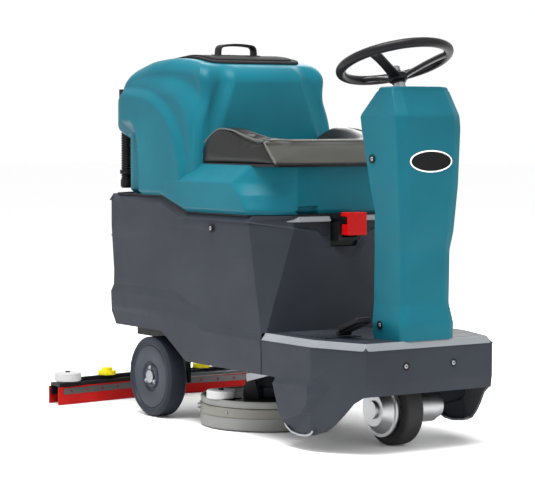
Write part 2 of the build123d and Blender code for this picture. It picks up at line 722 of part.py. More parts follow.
def swept_bar(back, front, y0, y1, z0, z1):
    # A bar that follows the squeegee's swept plan: back and front are offsets from its middle line.
    def station(offset, y):
        return (SQUEEGEE_X + SQUEEGEE_SWEEP * abs(y) + offset, y)
    points = [station(back, -y1), station(back, -y0), station(front, -y0), station(front, -y1)]
    if y0 > 0:
        return both_sides(plan_prism(points, z0, z1))
    whole = [
        station(back, -y1), station(back, 0), station(back, y1),
        station(front, y1), station(front, 0), station(front, -y1),
    ]
    return plan_prism(whole, z0, z1)


def squeegee_frame():
    frame = swept_bar(-30, 30, 0, SQUEEGEE_HALF - 6, 60, 70)
    frame += swept_bar(-30, -24, 0, SQUEEGEE_HALF - 6, 30, 62)
    frame += swept_bar(24, 30, 0, SQUEEGEE_HALF - 6, 30, 62)
    frame += swept_bar(-8, 8, 0, SQUEEGEE_ROLLER_Y - 52, 68, 82)
    frame += post(SQUEEGEE_X, 0, 69, 98, 24)
    frame -= post(SQUEEGEE_X, 0, 0, 200, 10 + RUNNING_FIT)
    port = Pos(SQUEEGEE_X + SQUEEGEE_SWEEP * PORT_Y, PORT_Y, 0)
    frame += port * post(0, 0, 68, 120, PORT_R + 6)
    frame -= port * post(0, 0, 0, 200, PORT_R)
    for side in (-1, 1):
        x = SQUEEGEE_ROLLER_X
        frame += post(x, side * SQUEEGEE_ROLLER_Y, 68, 108, 7)
    return frame


def front_blade():
    return swept_bar(30, 34, 0, SQUEEGEE_HALF, 1, BLADE_TOP)


def rear_blade():
    return swept_bar(-34, -30, 0, SQUEEGEE_HALF, 1, BLADE_TOP)


def blade_straps():
    straps = swept_bar(34, 36, 8, SQUEEGEE_HALF - 20, 34, 54)
    straps += swept_bar(-36, -34, 8, SQUEEGEE_HALF - 20, 34, 54)
    for i in range(STRAP_HOLES):
        y = STRAP_FIRST_HOLE + i * STRAP_HOLE_PITCH
        hole = long_rod(y, 44, -1450, -1250, 4)
        straps -= both_sides(hole)
    return straps


def squeegee_roller(side):
    x = SQUEEGEE_ROLLER_X
    wheel = post(x, side * SQUEEGEE_ROLLER_Y, 76, 104, 44)
    wheel = fillet(wheel.edges().filter_by(GeomType.CIRCLE), 5)
    return wheel - post(x, side * SQUEEGEE_ROLLER_Y, 0, 200, 7 + RUNNING_FIT)


def squeegee_knob(side):
    x = SQUEEGEE_X + SQUEEGEE_SWEEP * KNOB_Y
    knob = post(x, side * KNOB_Y, 82 + GAP, 96, 30)
    return knob + post(x, side * KNOB_Y, 96, 106, 18)


def squeegee_arm():
    x, z = SQUEEGEE_PIVOT
    arm = cross_rod(x, z, -68, 68, 14)
    bar = [(x + 10, z + 10), (x - 6, z - 12), (-1300, 100), (-1384, 100), (-1384, 112), (-1306, 112)]
    for y in (-62, 52):
        arm += side_prism(bar, y, y + 10)
    arm += block((-1380, -1318), (-62, 62), (101, 109))
    arm += post(SQUEEGEE_X, 0, 62, 104, 10)
    return arm - cross_rod(x, z, -100, 100, 8 + RUNNING_FIT)


# ---------------------------------------------------------------- fasteners

def cover_screws():
    screws = Part()
    for y in (-84, 84):
        screws += long_rod(y, 245, FRONT_X - 2, FRONT_X, 9)
    for side in (-1, 1):
        y = sorted((side * HALF_WIDTH, side * (HALF_WIDTH - 3)))
        screws += cross_rod(-534, 605, y[0], y[1], 8)
        for x, z, half in ((42, 818, 112.6), (60, 352, 97)):
            y = sorted((side * half, side * (half + 4)))
            screws += cross_rod(x, z, y[0], y[1], 8)
    return screws - column_cover()


pieces = {
    "chassis_frame": chassis_frame(),
    "rear_axle": rear_axle(),
    "solution_tank": solution_tank() - cover_screws(),
    "foot_platform": foot_platform(),
    "front_bumper": front_bumper(),
    "guard_strips": guard_strips(),
    "cover_screws": cover_screws(),
    "column_cover": column_cover(),
    "column_back_panel": column_back_panel(),
    "badge_plate": badge_plate() - column_cover(),
    "console_panel": console_panel(),
    "display_screen": display_screen(),
    "key_switch": key_switch(),
    "brush_button": console_button(BRUSH_BUTTON_Y),
    "squeegee_button": console_button(SQUEEGEE_BUTTON_Y),
    "steering_wheel": steering_wheel(),
    "steering_shaft": steering_shaft(),
    "lower_steering_shaft": lower_steering_shaft(),
    "steering_chain": steering_chain(),
    "drive_bracket": drive_bracket(),
    "gear_housing": gear_housing(),
    "drive_motor": drive_motor(),
    "drive_hub": drive_hub(),
    "drive_tyre": drive_tyre(),
    "rear_tyre_right": rear_tyre(-1),
    "rear_tyre_left": rear_tyre(1),
    "rear_hub_right": rear_hub(-1),
    "rear_hub_left": rear_hub(1),
    "recovery_tank": recovery_tank(),
    "vacuum_motor": vacuum_motor(),
    "tank_lid": tank_lid(),
    "lid_handle": lid_handle(),
    "tank_hinge": tank_hinge(),
    "tank_hinge_leaves": tank_hinge_leaves(),
    "drain_hose": drain_hose(),
    "drain_cap": drain_cap(),
    "hose_clips": hose_clips(),
    "seat_cushion": seat_cushion(),
    "battery_right": battery(-1),
    "battery_left": battery(1),
    "disconnect_socket": disconnect_socket(),
    "disconnect_handle": disconnect_handle(),
    "pedal_arm": pedal_arm(),
    "pedal_pad": pedal_pad(),
    "deck_housing": deck_housing(),
    "deck_skirt": deck_skirt(),
    "deck_clamp_band": deck_clamp_band(),
    "deck_motor": deck_motor(),
    "scrub_brush": scrub_brush(),
    "deck_roller": deck_roller(),
    "deck_arms": deck_arms(),
    "squeegee_frame": squeegee_frame(),
    "front_blade": front_blade(),
    "rear_blade": rear_blade(),
    "blade_straps": blade_straps(),
    "squeegee_arm": squeegee_arm(),
}
for name, side in (("right", -1), ("left", 1)):
    pieces["squeegee_roller_" + name] = squeegee_roller(side)
    pieces["squeegee_knob_" + name] = squeegee_knob(side)

os.makedirs("parts", exist_ok=True)
for name, shape in pieces.items():
    export_step(place(shape), "parts/" + name + ".step")
print(len(pieces), "nodes")
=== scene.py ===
"""Looks of a micro ride-on floor scrubber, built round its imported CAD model.

Lengths are metres. The design frame has X = 0 over the front wheel's axle; FRONT_AXLE_X carries its
stations into the row frame. +X is forward, +Y the machine's left and +Z up.
"""

import math

import bmesh
import bpy
import numpy as np
from mathutils import Matrix, Vector


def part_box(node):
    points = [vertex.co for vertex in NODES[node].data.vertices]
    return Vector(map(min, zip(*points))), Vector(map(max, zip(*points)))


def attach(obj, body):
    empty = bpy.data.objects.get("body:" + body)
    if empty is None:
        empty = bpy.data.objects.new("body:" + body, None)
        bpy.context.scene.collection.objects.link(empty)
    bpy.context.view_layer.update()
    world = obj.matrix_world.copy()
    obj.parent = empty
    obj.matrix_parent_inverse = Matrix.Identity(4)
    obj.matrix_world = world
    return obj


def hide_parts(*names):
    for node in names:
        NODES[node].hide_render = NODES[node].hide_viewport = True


MM = 0.001
FRONT_AXLE_X = 0.609

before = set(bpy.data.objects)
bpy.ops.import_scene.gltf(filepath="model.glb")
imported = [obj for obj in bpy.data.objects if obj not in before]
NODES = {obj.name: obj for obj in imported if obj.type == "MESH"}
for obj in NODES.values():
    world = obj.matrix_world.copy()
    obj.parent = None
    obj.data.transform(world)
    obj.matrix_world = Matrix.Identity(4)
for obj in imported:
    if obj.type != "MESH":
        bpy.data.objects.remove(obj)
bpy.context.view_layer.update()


# ---------------------------------------------------------------- materials


def linear(hex_colour):
    """The linear RGBA of an sRGB hex colour."""
    parts = [int(hex_colour[i : i + 2], 16) / 255 for i in (1, 3, 5)]
    return [*(c / 12.92 if c <= 0.04045 else ((c + 0.055) / 1.055) ** 2.4 for c in parts), 1.0]


def add_node(tree, kind, settings=None, links=None):
    """A node of one kind, its properties or sockets set from settings and its inputs linked."""
    node = tree.nodes.new(kind)
    for name, value in (settings or {}).items():
        if isinstance(name, int) or name in node.inputs:
            node.inputs[name].default_value = value
        else:
            setattr(node, name, value)
    for name, source in (links or {}).items():
        tree.links.new(source, node.inputs[name])
    return node


def new_material(name, colour, roughness, **sockets):
    """A material with its node tree, its one Principled shader and its Object coordinates."""
    material = bpy.data.materials.new(name)
    material.use_nodes = True
    tree = material.node_tree
    shader = tree.nodes["Principled BSDF"]
    shader.inputs["Base Color"].default_value = linear(colour)
    shader.inputs["Roughness"].default_value = roughness
    for socket, value in sockets.items():
        shader.inputs[socket.replace("_", " ")].default_value = value
    where = add_node(tree, "ShaderNodeTexCoord").outputs["Object"]
    return material, tree, shader, where


def mottle(tree, where, size, detail=3.0):
    """Soft noise whose blotches are about size metres across, from 0 to 1."""
    settings = {"Scale": 1 / size, "Detail": detail, "Roughness": 0.55}
    return add_node(tree, "ShaderNodeTexNoise", settings, {"Vector": where}).outputs["Fac"]


def spread(tree, source, low, high, at=(0.3, 0.7)):
    """A value carried from the range at to the range low to high."""
    settings = {"From Min": at[0], "From Max": at[1], "To Min": low, "To Max": high}
    return add_node(tree, "ShaderNodeMapRange", settings, {"Value": source}).outputs["Result"]


def two_tone(tree, factor, first, second):
    """The colour between two hex colours at a factor from 0 to 1."""
    node = add_node(tree, "ShaderNodeMix", {"data_type": "RGBA"})
    node.inputs[6].default_value = linear(first)
    node.inputs[7].default_value = linear(second)
    tree.links.new(factor, node.inputs[0])
    return node.outputs[2]


def bump(tree, height, distance, strength=1.0):
    """A normal lifted by a height from 0 to 1 that stands for distance metres."""
    settings = {"Distance": distance, "Strength": strength}
    return add_node(tree, "ShaderNodeBump", settings, {"Height": height}).outputs["Normal"]


def grained(tree, shader, where, size, depth):
    """Gives a shader a skin of fine pebbles, size metres across and depth metres deep."""
    pebbles = add_node(tree, "ShaderNodeTexVoronoi", {"Scale": 1 / size}, {"Vector": where})
    lifted = bump(tree, pebbles.outputs["Distance"], depth, 0.35)
    tree.links.new(lifted, shader.inputs["Normal"])


# How strongly a moulded skin mirrors its surroundings; 0.5 is clean glass.
PLASTIC_SHEEN = 0.12


def moulded(name, colour, pale, roughness, grain, grain_depth, sheen=PLASTIC_SHEEN, **sockets):
    """Moulded plastic: a slow drift of colour, a fine pebbled grain and slightly uneven gloss."""
    material, tree, shader, where = new_material(name, colour, roughness, **sockets)
    drift = spread(tree, mottle(tree, where, 0.22, 2.0), 0.0, 1.0)
    tree.links.new(two_tone(tree, drift, colour, pale), shader.inputs["Base Color"])
    gloss = spread(tree, mottle(tree, where, 0.05), roughness - 0.05, roughness + 0.06)
    tree.links.new(gloss, shader.inputs["Roughness"])
    shader.inputs["Specular IOR Level"].default_value = sheen
    grained(tree, shader, where, grain, grain_depth)
    return material


def metal(name, colour, roughness, grain, grain_depth, stretch=(1, 1, 1), **sockets):
    """Bare or coated metal: fine grain, stretched along the brushing or even when cast."""
    material, tree, shader, where = new_material(name, colour, roughness, Metallic=1.0, **sockets)
    along = add_node(tree, "ShaderNodeMapping", {"Scale": stretch}, {"Vector": where})
    marks = mottle(tree, along.outputs["Vector"], grain)
    gloss = spread(tree, marks, roughness - 0.08, roughness + 0.1)
    tree.links.new(gloss, shader.inputs["Roughness"])
    tree.links.new(bump(tree, marks, grain_depth, 0.5), shader.inputs["Normal"])
    return material


# Roto-moulded polyethylene: satin, a little waxy, with an even pebbled skin.
teal = moulded("rotomoulded_polyethylene_teal", "#08505E", "#0B5A68", 0.38, 0.0024, 0.00012)
# The same polyethylene in slate grey, a little drier than the teal.
grey = moulded("rotomoulded_polyethylene_slate", "#262A30", "#2B2F36", 0.46, 0.0026, 0.00014)
# Injection-moulded ABS, black and smoother than the tanks.
black_plastic = moulded("moulded_abs_black", "#141416", "#1A1A1C", 0.34, 0.0016, 0.00006)
# Glossy red ABS of the battery plug.
red_plastic = moulded("moulded_abs_red", "#B00C0C", "#BC100E", 0.28, 0.002, 0.00004)
# Yellow nylon of the squeegee knobs.
yellow_plastic = moulded("moulded_nylon_yellow", "#D8C81A", "#E0D022", 0.4, 0.0016, 0.00006)
# Pale grey polyethylene of the guard rollers and skirt.
pale_plastic = moulded("moulded_polyethylene_pale", "#A6A6A6", "#B0B0B0", 0.42, 0.0022, 0.00008)
# Black powder coat on folded steel: fine orange peel.
black_steel = moulded("powder_coated_steel_black", "#151517", "#1B1B1E", 0.42, 0.0012, 0.00008)
# Polypropylene battery cases, nearly black.
battery_case = moulded("battery_case_polypropylene", "#1D1F24", "#23262B", 0.5, 0.0018, 0.00008)
# Grey enamelled hubs and motor housing.
hub_grey = moulded("wheel_hub_nylon_grey", "#2C3038", "#31353E", 0.36, 0.002, 0.00005)
# Polyurethane tyre, grey, matt and faintly ground.
tyre_grey = moulded("polyurethane_tyre_grey", "#20242B", "#262A32", 0.55, 0.0014, 0.00012)
# Black solid rubber tyre.
tyre_black = moulded("solid_rubber_black", "#222224", "#2B2B2B", 0.62, 0.0014, 0.00014)
# Warm grey clamp band of the deck.
warm_grey = moulded("anodised_band_warm_grey", "#6C6B66", "#75746E", 0.4, 0.002, 0.00005)
# Natural red linatex blades: matt with a dusty bloom.
red_rubber = moulded("gum_rubber_red", "#9A0E0B", "#A8120E", 0.5, 0.0022, 0.0001)
# Soft black PVC of hose and gasket.
black_rubber = moulded("soft_pvc_black", "#121214", "#19191B", 0.5, 0.0016, 0.0001)
# Polypropylene bristle.
bristle = moulded("polypropylene_bristle", "#2A3C6A", "#34477A", 0.6, 0.001, 0.0006)
# Zinc-plated steel, bright with faint drawing marks.
bright_steel = metal("zinc_plated_steel", "#8C8F93", 0.34, 0.004, 0.00004, (1, 6, 6))
# Die-cast aluminium: pale, softly grained.
cast_aluminium = metal("die_cast_aluminium", "#A9AAAB", 0.36, 0.0022, 0.00016)
# Matt steel strap, darker than the plated fixings.
strap_steel = metal("brushed_steel_strap", "#5E5B5C", 0.42, 0.003, 0.00005, (6, 1, 6))
# Textured lid skin: dry and fine-grained, so that light from above only greys it.
lid_black = moulded("textured_abs_black", "#1C1C1D", "#232324", 0.75, 0.0014, 0.00012, sheen=0.08)
# Seat welts: the same vinyl over cord, painted paler than the panels beside it as a painted
# highlight along the seat's edges.
welt_painted_highlight = moulded("vinyl_welt_painted_highlight", "#4A4A46", "#565651", 0.36, 0.0016, 0.00006)
# Moulded-in edge of the slate shell: painted a lighter grey as the highlight where its chamfer
# faces the light from above.
edge_painted_highlight = moulded("polyethylene_edge_painted_highlight", "#6E7276", "#787C80", 0.36, 0.0024, 0.0001)
# Deck skirt and rim: a mid-grey polyethylene, duller than the rollers.
deck_grey = moulded("moulded_polyethylene_deck_grey", "#747573", "#7E7F7C", 0.42, 0.0022, 0.00008)
# Enamelled rim of the blank badge: clean and glossy.
badge_white = moulded("enamelled_rim_white", "#E4E4E4", "#ECECEC", 0.24, 0.002, 0.0)
# Screen glass over a dark panel.
screen = moulded("screen_glass_dark", "#0B1518", "#0F1C20", 0.1, 0.01, 0.0)
# Blank enamelled plate.
badge = moulded("enamelled_plate_black", "#0C0C0D", "#101011", 0.22, 0.002, 0.0)
# Seat cover of coated vinyl.
vinyl = moulded("coated_vinyl_black", "#161616", "#1B1B1B", 0.36, 0.0018, 0.00015)

SLOT_MATERIALS = {
    "grey_plastic": grey,
    "teal_plastic": teal,
    "black_plastic": black_plastic,
    "black_steel": black_steel,
    "bright_steel": bright_steel,
    "cast_aluminium": cast_aluminium,
    "grey_rubber": tyre_grey,
    "black_rubber": tyre_black,
    "grey_hub": hub_grey,
    "seat_vinyl": vinyl,
    "red_plastic": red_plastic,
    "red_rubber": red_rubber,
    "light_grey": pale_plastic,
    "warm_grey": warm_grey,
    "screen_glass": screen,
    "badge": badge,
    "yellow_plastic": yellow_plastic,
    "battery_case": battery_case,
    "bristle": bristle,
}
for node in NODES.values():
    for index, held in enumerate(node.data.materials):
        node.data.materials[index] = SLOT_MATERIALS[held.name]
NODES["column_back_panel"].data.materials[0] = lid_black
NODES["blade_straps"].data.materials[0] = strap_steel
NODES["pedal_arm"].data.materials[0] = black_steel

# ---------------------------------------------------------------- shapes


def smooth_step(value):
    """0 below 0, 1 above 1, with a level start and end."""
    value = np.clip(value, 0.0, 1.0)
    return value * value * (3 - 2 * value)


def mix(first, second, share):
    """Straight from first to second as share goes from 0 to 1."""
    return first + (second - first) * share


def filleted(corners, radius, steps=5, closed=True):
    """A 2-D outline whose corners are arcs: each corner gives steps points on the circle of that
    radius that touches both its sides."""
    corners = [np.array(c, float) for c in corners]
    radii = [radius] * len(corners) if np.isscalar(radius) else radius
    out = []
    for i, corner in enumerate(corners):
        if (not closed and i in (0, len(corners) - 1)) or radii[i] <= 0:
            out.append(corner[None])
            continue
        before, after = corners[i - 1] - corner, corners[(i + 1) % len(corners)] - corner
        room = 0.49 * min(np.linalg.norm(before), np.linalg.norm(after))
        a, b = before / np.linalg.norm(before), after / np.linalg.norm(after)
        half = math.acos(np.clip(a @ b, -1, 1)) / 2
        if half > math.radians(89):
            out.append(corner[None])
            continue
        reach = min(radii[i] / math.tan(half), room)
        share = np.linspace(0, 1, steps)[:, None]
        start, end = corner + a * reach, corner + b * reach
        # A quadratic curve with its handle on the corner stays within a hair of the arc.
        out.append((1 - share) ** 2 * start + 2 * share * (1 - share) * corner + share**2 * end)
    return np.concatenate(out)


def evened(line, spacing, closed=True):
    """The same polyline with added points, so that none are further apart than spacing."""
    ends = np.vstack([line, line[:1]]) if closed else line
    parts = []
    for a, b in zip(ends[:-1], ends[1:]):
        count = max(1, int(np.ceil(np.linalg.norm(b - a) / spacing)))
        parts.append(a + (b - a) * (np.arange(count) / count)[:, None])
    if not closed:
        parts.append(ends[-1:])
    return np.concatenate(parts)


def inset(outline, distance):
    """A closed counter-clockwise 2-D outline moved inwards along its mitred normals."""
    before = outline - np.roll(outline, 1, 0)
    after = np.roll(outline, -1, 0) - outline
    before /= np.linalg.norm(before, axis=1)[:, None] + 1e-12
    after /= np.linalg.norm(after, axis=1)[:, None] + 1e-12
    left = np.stack([-before[:, 1], before[:, 0]], 1) + np.stack([-after[:, 1], after[:, 0]], 1)
    left /= np.linalg.norm(left, axis=1)[:, None] + 1e-12
    cosine = np.clip((left * np.stack([-before[:, 1], before[:, 0]], 1)).sum(1), 0.5, 1)
    return outline + left * (distance / cosine)[:, None]


# Points closer than this are one point, in metres: on made surfaces, and on the CAD's triangles.
SAME_POINT, SAME_CAD_POINT = 0.02 * MM, 0.01 * MM


def in_row_frame(points):
    """Design-frame millimetres as metres of the row frame."""
    return np.asarray(points, float) * MM + (FRONT_AXLE_X, 0, 0)


def make_mesh(name, grids, sharp_deg):
    """One mesh from grids of points (rows, columns, 3) in design millimetres: neighbours become
    quads, equal points become one, so seams and poles close, and faces are turned outwards."""
    points, faces, start = [], [], 0
    for grid in grids:
        rows, columns = grid.shape[:2]
        corner = (np.arange(rows - 1)[:, None] * columns + np.arange(columns - 1)).ravel() + start
        faces.append(np.stack([corner, corner + 1, corner + columns + 1, corner + columns], 1))
        points.append(grid.reshape(-1, 3))
        start += rows * columns
    points = in_row_frame(np.concatenate(points))
    mesh = bpy.data.meshes.new(name)
    mesh.from_pydata(points.tolist(), [], np.concatenate(faces).tolist())
    work = bmesh.new()
    work.from_mesh(mesh)
    bmesh.ops.remove_doubles(work, verts=work.verts, dist=SAME_POINT)
    bmesh.ops.dissolve_degenerate(work, edges=work.edges, dist=SAME_POINT / 2)
    bmesh.ops.recalc_face_normals(work, faces=work.faces)
    work.to_mesh(mesh)
    work.free()
    mesh.shade_smooth()
    mesh.set_sharp_from_angle(angle=math.radians(sharp_deg))
    return mesh


def linked(name, data):
    """A new object in the scene."""
    made = bpy.data.objects.new(name, data)
    bpy.context.scene.collection.objects.link(made)
    return made


def registered(made, body, nodes):
    """Hangs an object on the body it rides on and hides the CAD nodes that it stands for."""
    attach(made, body)
    if nodes:
        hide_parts(*nodes)


def piece(name, grids, material, body, replaces=(), sharp_deg=40):
    """A new piece that rides on a body, takes the given material and stands for CAD nodes."""
    mesh = make_mesh(name, grids, sharp_deg)
    mesh.materials.append(material)
    registered(linked(name, mesh), body, replaces)


def turned(profile, centre, axis, count=64):
    """A profile of (radius, distance along the axis) carried round the axis through centre."""
    axis = np.array(axis, float) / np.linalg.norm(axis)
    first = np.cross(axis, (0, 0, 1) if abs(axis[2]) < 0.9 else (1, 0, 0))
    first /= np.linalg.norm(first)
    second = np.cross(axis, first)
    profile = np.array(profile, float)
    angle = np.linspace(0, 2 * math.pi, count + 1)
    angle[-1] = 0.0
    ring = np.cos(angle)[:, None] * first + np.sin(angle)[:, None] * second
    return (
        np.array(centre, float)
        + profile[:, None, :1] * ring[None]
        + profile[:, None, 1:2] * axis[None, None]
    )


def bar(path, outline, closed=False, up=(0, 0, 1)):
    """A closed 2-D outline carried along a path: at each point the outline's x lies across the
    path, level with up, and its y along up made square to the path. Ends close on their middles."""
    path = np.array(path, float)
    if closed:
        heading = np.roll(path, -1, 0) - np.roll(path, 1, 0)
    else:
        heading = np.gradient(path, axis=0)
    heading /= np.linalg.norm(heading, axis=1)[:, None]
    across = np.cross(heading, np.array(up, float))
    across /= np.linalg.norm(across, axis=1)[:, None]
    rise = np.cross(across, heading)
    loop = np.vstack([outline, outline[:1]])
    grid = path[:, None] + loop[None, :, :1] * across[:, None] + loop[None, :, 1:] * rise[:, None]
    if closed:
        return np.concatenate([grid, grid[:1]])
    ends = [np.repeat(path[i][None, None], len(loop), 1) for i in (0, -1)]
    return np.concatenate([ends[0], grid, ends[1]])


def circle(radius, count=16):
    """A closed round outline, counter-clockwise."""
    angle = np.linspace(0, 2 * math.pi, count, endpoint=False)
    return np.stack([radius * np.cos(angle), radius * np.sin(angle)], 1)


def rectangle(half_width, half_height):
    """The corners of a rectangle about the origin, counter-clockwise."""
    return [(-half_width, -half_height), (half_width, -half_height), (half_width, half_height),
            (-half_width, half_height)]


def slab(outline, low, high, edge, place):
    """A solid plate: its 2-D outline is carried from low to high with rounded rims of radius edge.
    place(points of (x, y, height)) gives the design-frame points."""
    turn = np.linspace(0, math.pi / 2, 4)
    rings = [(edge * (1 - math.sin(a)), low + edge * (1 - math.cos(a))) for a in turn]
    rings += [(edge * (1 - math.cos(a)), high - edge * (1 - math.sin(a))) for a in turn]
    loops = [np.column_stack([inset(outline, d), np.full(len(outline), h)]) for d, h in rings]
    middle = outline.mean(0)

    def drawn_in(loop, share):
        """The loop at a share of its size about the plate's middle."""
        return np.column_stack([middle + (loop[:, :2] - middle) * share, loop[:, 2]])

    lows = [drawn_in(loops[0], share) for share in (0.0, 0.6)]
    highs = [drawn_in(loops[-1], share) for share in (0.6, 0.0)]
    grid = np.stack([*lows, *loops, *highs])
    grid = np.concatenate([grid, grid[:, :1]], 1)
    return place(grid.reshape(-1, 3)).reshape(grid.shape)


def rounded(obj, width_mm, segments, angle_deg, harden):
    """A live modifier that rounds the edges sharper than an angle."""
    rounding = obj.modifiers.new("rounded_edges", "BEVEL")
    rounding.width = width_mm * MM
    rounding.segments = segments
    rounding.limit_method = "ANGLE"
    rounding.angle_limit = math.radians(angle_deg)
    rounding.harden_normals = harden


def copied(name, node, material, body, reshape, round_mm, cuts=()):
    """A piece that starts as a CAD node's own shape: its loose triangles are joined and flat ones
    merged, it is cut by planes (point, normal), its points are moved by reshape and its edges are
    rounded."""
    work = bmesh.new()
    work.from_mesh(NODES[node].data)
    bmesh.ops.remove_doubles(work, verts=work.verts, dist=SAME_CAD_POINT)
    bmesh.ops.dissolve_limit(
        work, angle_limit=math.radians(0.5), verts=work.verts, edges=work.edges
    )
    for point, normal in cuts:
        bmesh.ops.bisect_plane(
            work,
            geom=[*work.verts, *work.edges, *work.faces],
            dist=SAME_CAD_POINT,
            plane_co=in_row_frame(point).tolist(),
            plane_no=normal,
        )
    mesh = bpy.data.meshes.new(name)
    work.to_mesh(mesh)
    work.free()
    points = np.empty(len(mesh.vertices) * 3)
    mesh.vertices.foreach_get("co", points)
    points = (points.reshape(-1, 3) - (FRONT_AXLE_X, 0, 0)) / MM
    mesh.vertices.foreach_set("co", in_row_frame(reshape(points)).ravel())
    mesh.materials.clear()
    mesh.materials.append(material)
    mesh.shade_smooth()
    mesh.set_sharp_from_angle(angle=math.radians(30))
    made = linked(name, mesh)
    rounded(made, round_mm, 3, 12, True)
    registered(made, body, [node])


# ---------------------------------------------------------------- recovery tank

SEAM_REAR, SEAM_FRONT = (-835.0, 692.0), (-690.0, 648.0)
SEAM_GAP = 2.0
TOWER_FRONT, TOWER_REAR = -650.0, -1128.0
PILLAR_HALF, MIDDLE_HALF, TANK_HALF = 231.0, 260.0, 280.0
CROWN = [(-1128, 1000), (-1104, 1046), (-1045, 1084), (-950, 1110), (-840, 1120), (-760, 1113),
         (-676, 1094), (-640, 1076)]
CROWN_EDGE = 40.0
# The swept arcs of the tower's side, each as its centre, its reach and its power.
FIRST_ARC = ((-1000, 700), (366, 360), 4.5)
SECOND_ARC = ((-1100, 600), (412, 430), 3.0)
REAR_ARCH = ((-1040, 690), (84, 240), 3.0)
VALLEY_DEPTH, ARCH_DEPTH = 5.0, 46.0
PANEL_HALF, PANEL_TOP, PANEL_FLARE = 142.0, 1104.0, 0.37
PANEL_RISE, PANEL_VALLEY = 13.0, 5.0
LIP_HEIGHT, LIP_INSET = 16.0, 14.0


def seam_height(x):
    """Height of the joint between the two tanks: level, a ramp, then level again."""
    return np.interp(x, [SEAM_REAR[0], SEAM_FRONT[0]], [SEAM_REAR[1], SEAM_FRONT[1]])


def crown_height(x):
    """Height of the tank's crown: its side line, softened by averaging it over 50 mm."""
    stations, heights = zip(*CROWN)
    shifts = np.linspace(-25, 25, 9)
    return np.mean([np.interp(x + s, stations, heights) for s in shifts], 0)


def inside_arc(x, z, centre, reach, power):
    """Distance in mm inside an arc that is a quarter of a superellipse, open backwards and down."""
    forward = np.clip(x - centre[0], 0, None) / reach[0]
    upward = np.clip(z - centre[1], 0, None) / reach[1]
    return (1 - (forward**power + upward**power) ** (1 / power)) * min(reach)


def tower_half(x, z):
    """Half-width of the tower: the pillar's plane at the front, stepping out over two swept arcs to
    the flat side behind, and cut in again under an arch at the rear corner."""
    half = mix(PILLAR_HALF, MIDDLE_HALF, smooth_step((-700 - x) / 250))
    first, second = inside_arc(x, z, *FIRST_ARC), inside_arc(x, z, *SECOND_ARC)
    valley = np.exp(-(((first + 6) / 22) ** 2))
    half = half - VALLEY_DEPTH * valley * smooth_step((-x - 640) / 40)
    half = mix(half, MIDDLE_HALF + 2, smooth_step(first / 52))
    half = mix(half, TANK_HALF, smooth_step((second + 4) / 30))
    return half - ARCH_DEPTH * smooth_step(inside_arc(x, z, *REAR_ARCH) / 16)


def framed_panel(y, z):
    """How far the tower's front stands out: a raised panel, wide at the foot, with sloping sides,
    in a shallow valley."""
    across = (PANEL_HALF + np.clip(1063 - z, -60, 300) * PANEL_FLARE - np.abs(y)) * 0.94
    below = PANEL_TOP - z
    # The distance inside the nearer of the two edges, blended over 9 mm where they meet.
    depth = -np.log(np.exp(-across / 9) + np.exp(-below / 9)) * 9
    raised = PANEL_RISE * smooth_step(depth / 30)
    valley = PANEL_VALLEY * np.exp(-(((depth + 14) / 16) ** 2))
    return raised - valley


def lip(z, seam):
    """How far the tank's foot turns in above the joint."""
    return LIP_INSET * (1 - smooth_step((z - seam) / LIP_HEIGHT))


def leaned_back(x, z):
    """The tower's front leans back by 5 mm over 260 mm of height."""
    return x - 5 * (z - 790) / 260


def tower_outline(rise):
    """One closed ring of the tower at a share of its height: front, corner, side, corner, rear."""
    front_radius, rear_radius = 26.0, 62.0
    turn = np.linspace(0, math.pi / 2, 9)[1:-1]
    y_front = np.linspace(-1, 1, 85) * (PILLAR_HALF - front_radius)
    side_x = np.linspace(TOWER_FRONT - front_radius, TOWER_REAR + rear_radius, 97)
    y_rear = np.linspace(1, -1, 31)

    def height(x):
        """Height of the ring at a station."""
        low = seam_height(x) + SEAM_GAP
        return mix(low, crown_height(x) - CROWN_EDGE, rise)

    z_front = height(np.full(y_front.shape, TOWER_FRONT))
    x_front = leaned_back(TOWER_FRONT, z_front) + framed_panel(y_front, z_front)
    z_side = height(side_x)
    side = tower_half(side_x, z_side) - lip(z_side, seam_height(side_x))
    corner_x = TOWER_FRONT - front_radius * (1 - np.cos(turn))
    corner_z = height(corner_x)
    corner_y = side[0] - front_radius * (1 - np.sin(turn))
    corner_x = leaned_back(corner_x, corner_z)
    bend_x = TOWER_REAR + rear_radius * (1 - np.sin(turn))
    bend_z = height(bend_x)
    bend_y = side[-1] - rear_radius * (1 - np.cos(turn))
    rear_z = height(np.full(31, TOWER_REAR))
    rear_x = TOWER_REAR + lip(rear_z, seam_height(TOWER_REAR))
    left = [
        np.stack([corner_x, corner_y, corner_z], 1),
        np.stack([side_x, side, z_side], 1),
        np.stack([bend_x, bend_y, bend_z], 1),
    ]
    rear = np.stack([rear_x, y_rear * (side[-1] - rear_radius), rear_z], 1)
    right = [part[::-1] * (1, -1, 1) for part in reversed(left)]
    ring = np.concatenate([np.stack([x_front, y_front, z_front], 1), *left, rear, *right])
    return np.vstack([ring, ring[:1]])


MOUTH_X, MOUTH_HALF_X, MOUTH_HALF_Y = -884.0, 143.0, 136.0


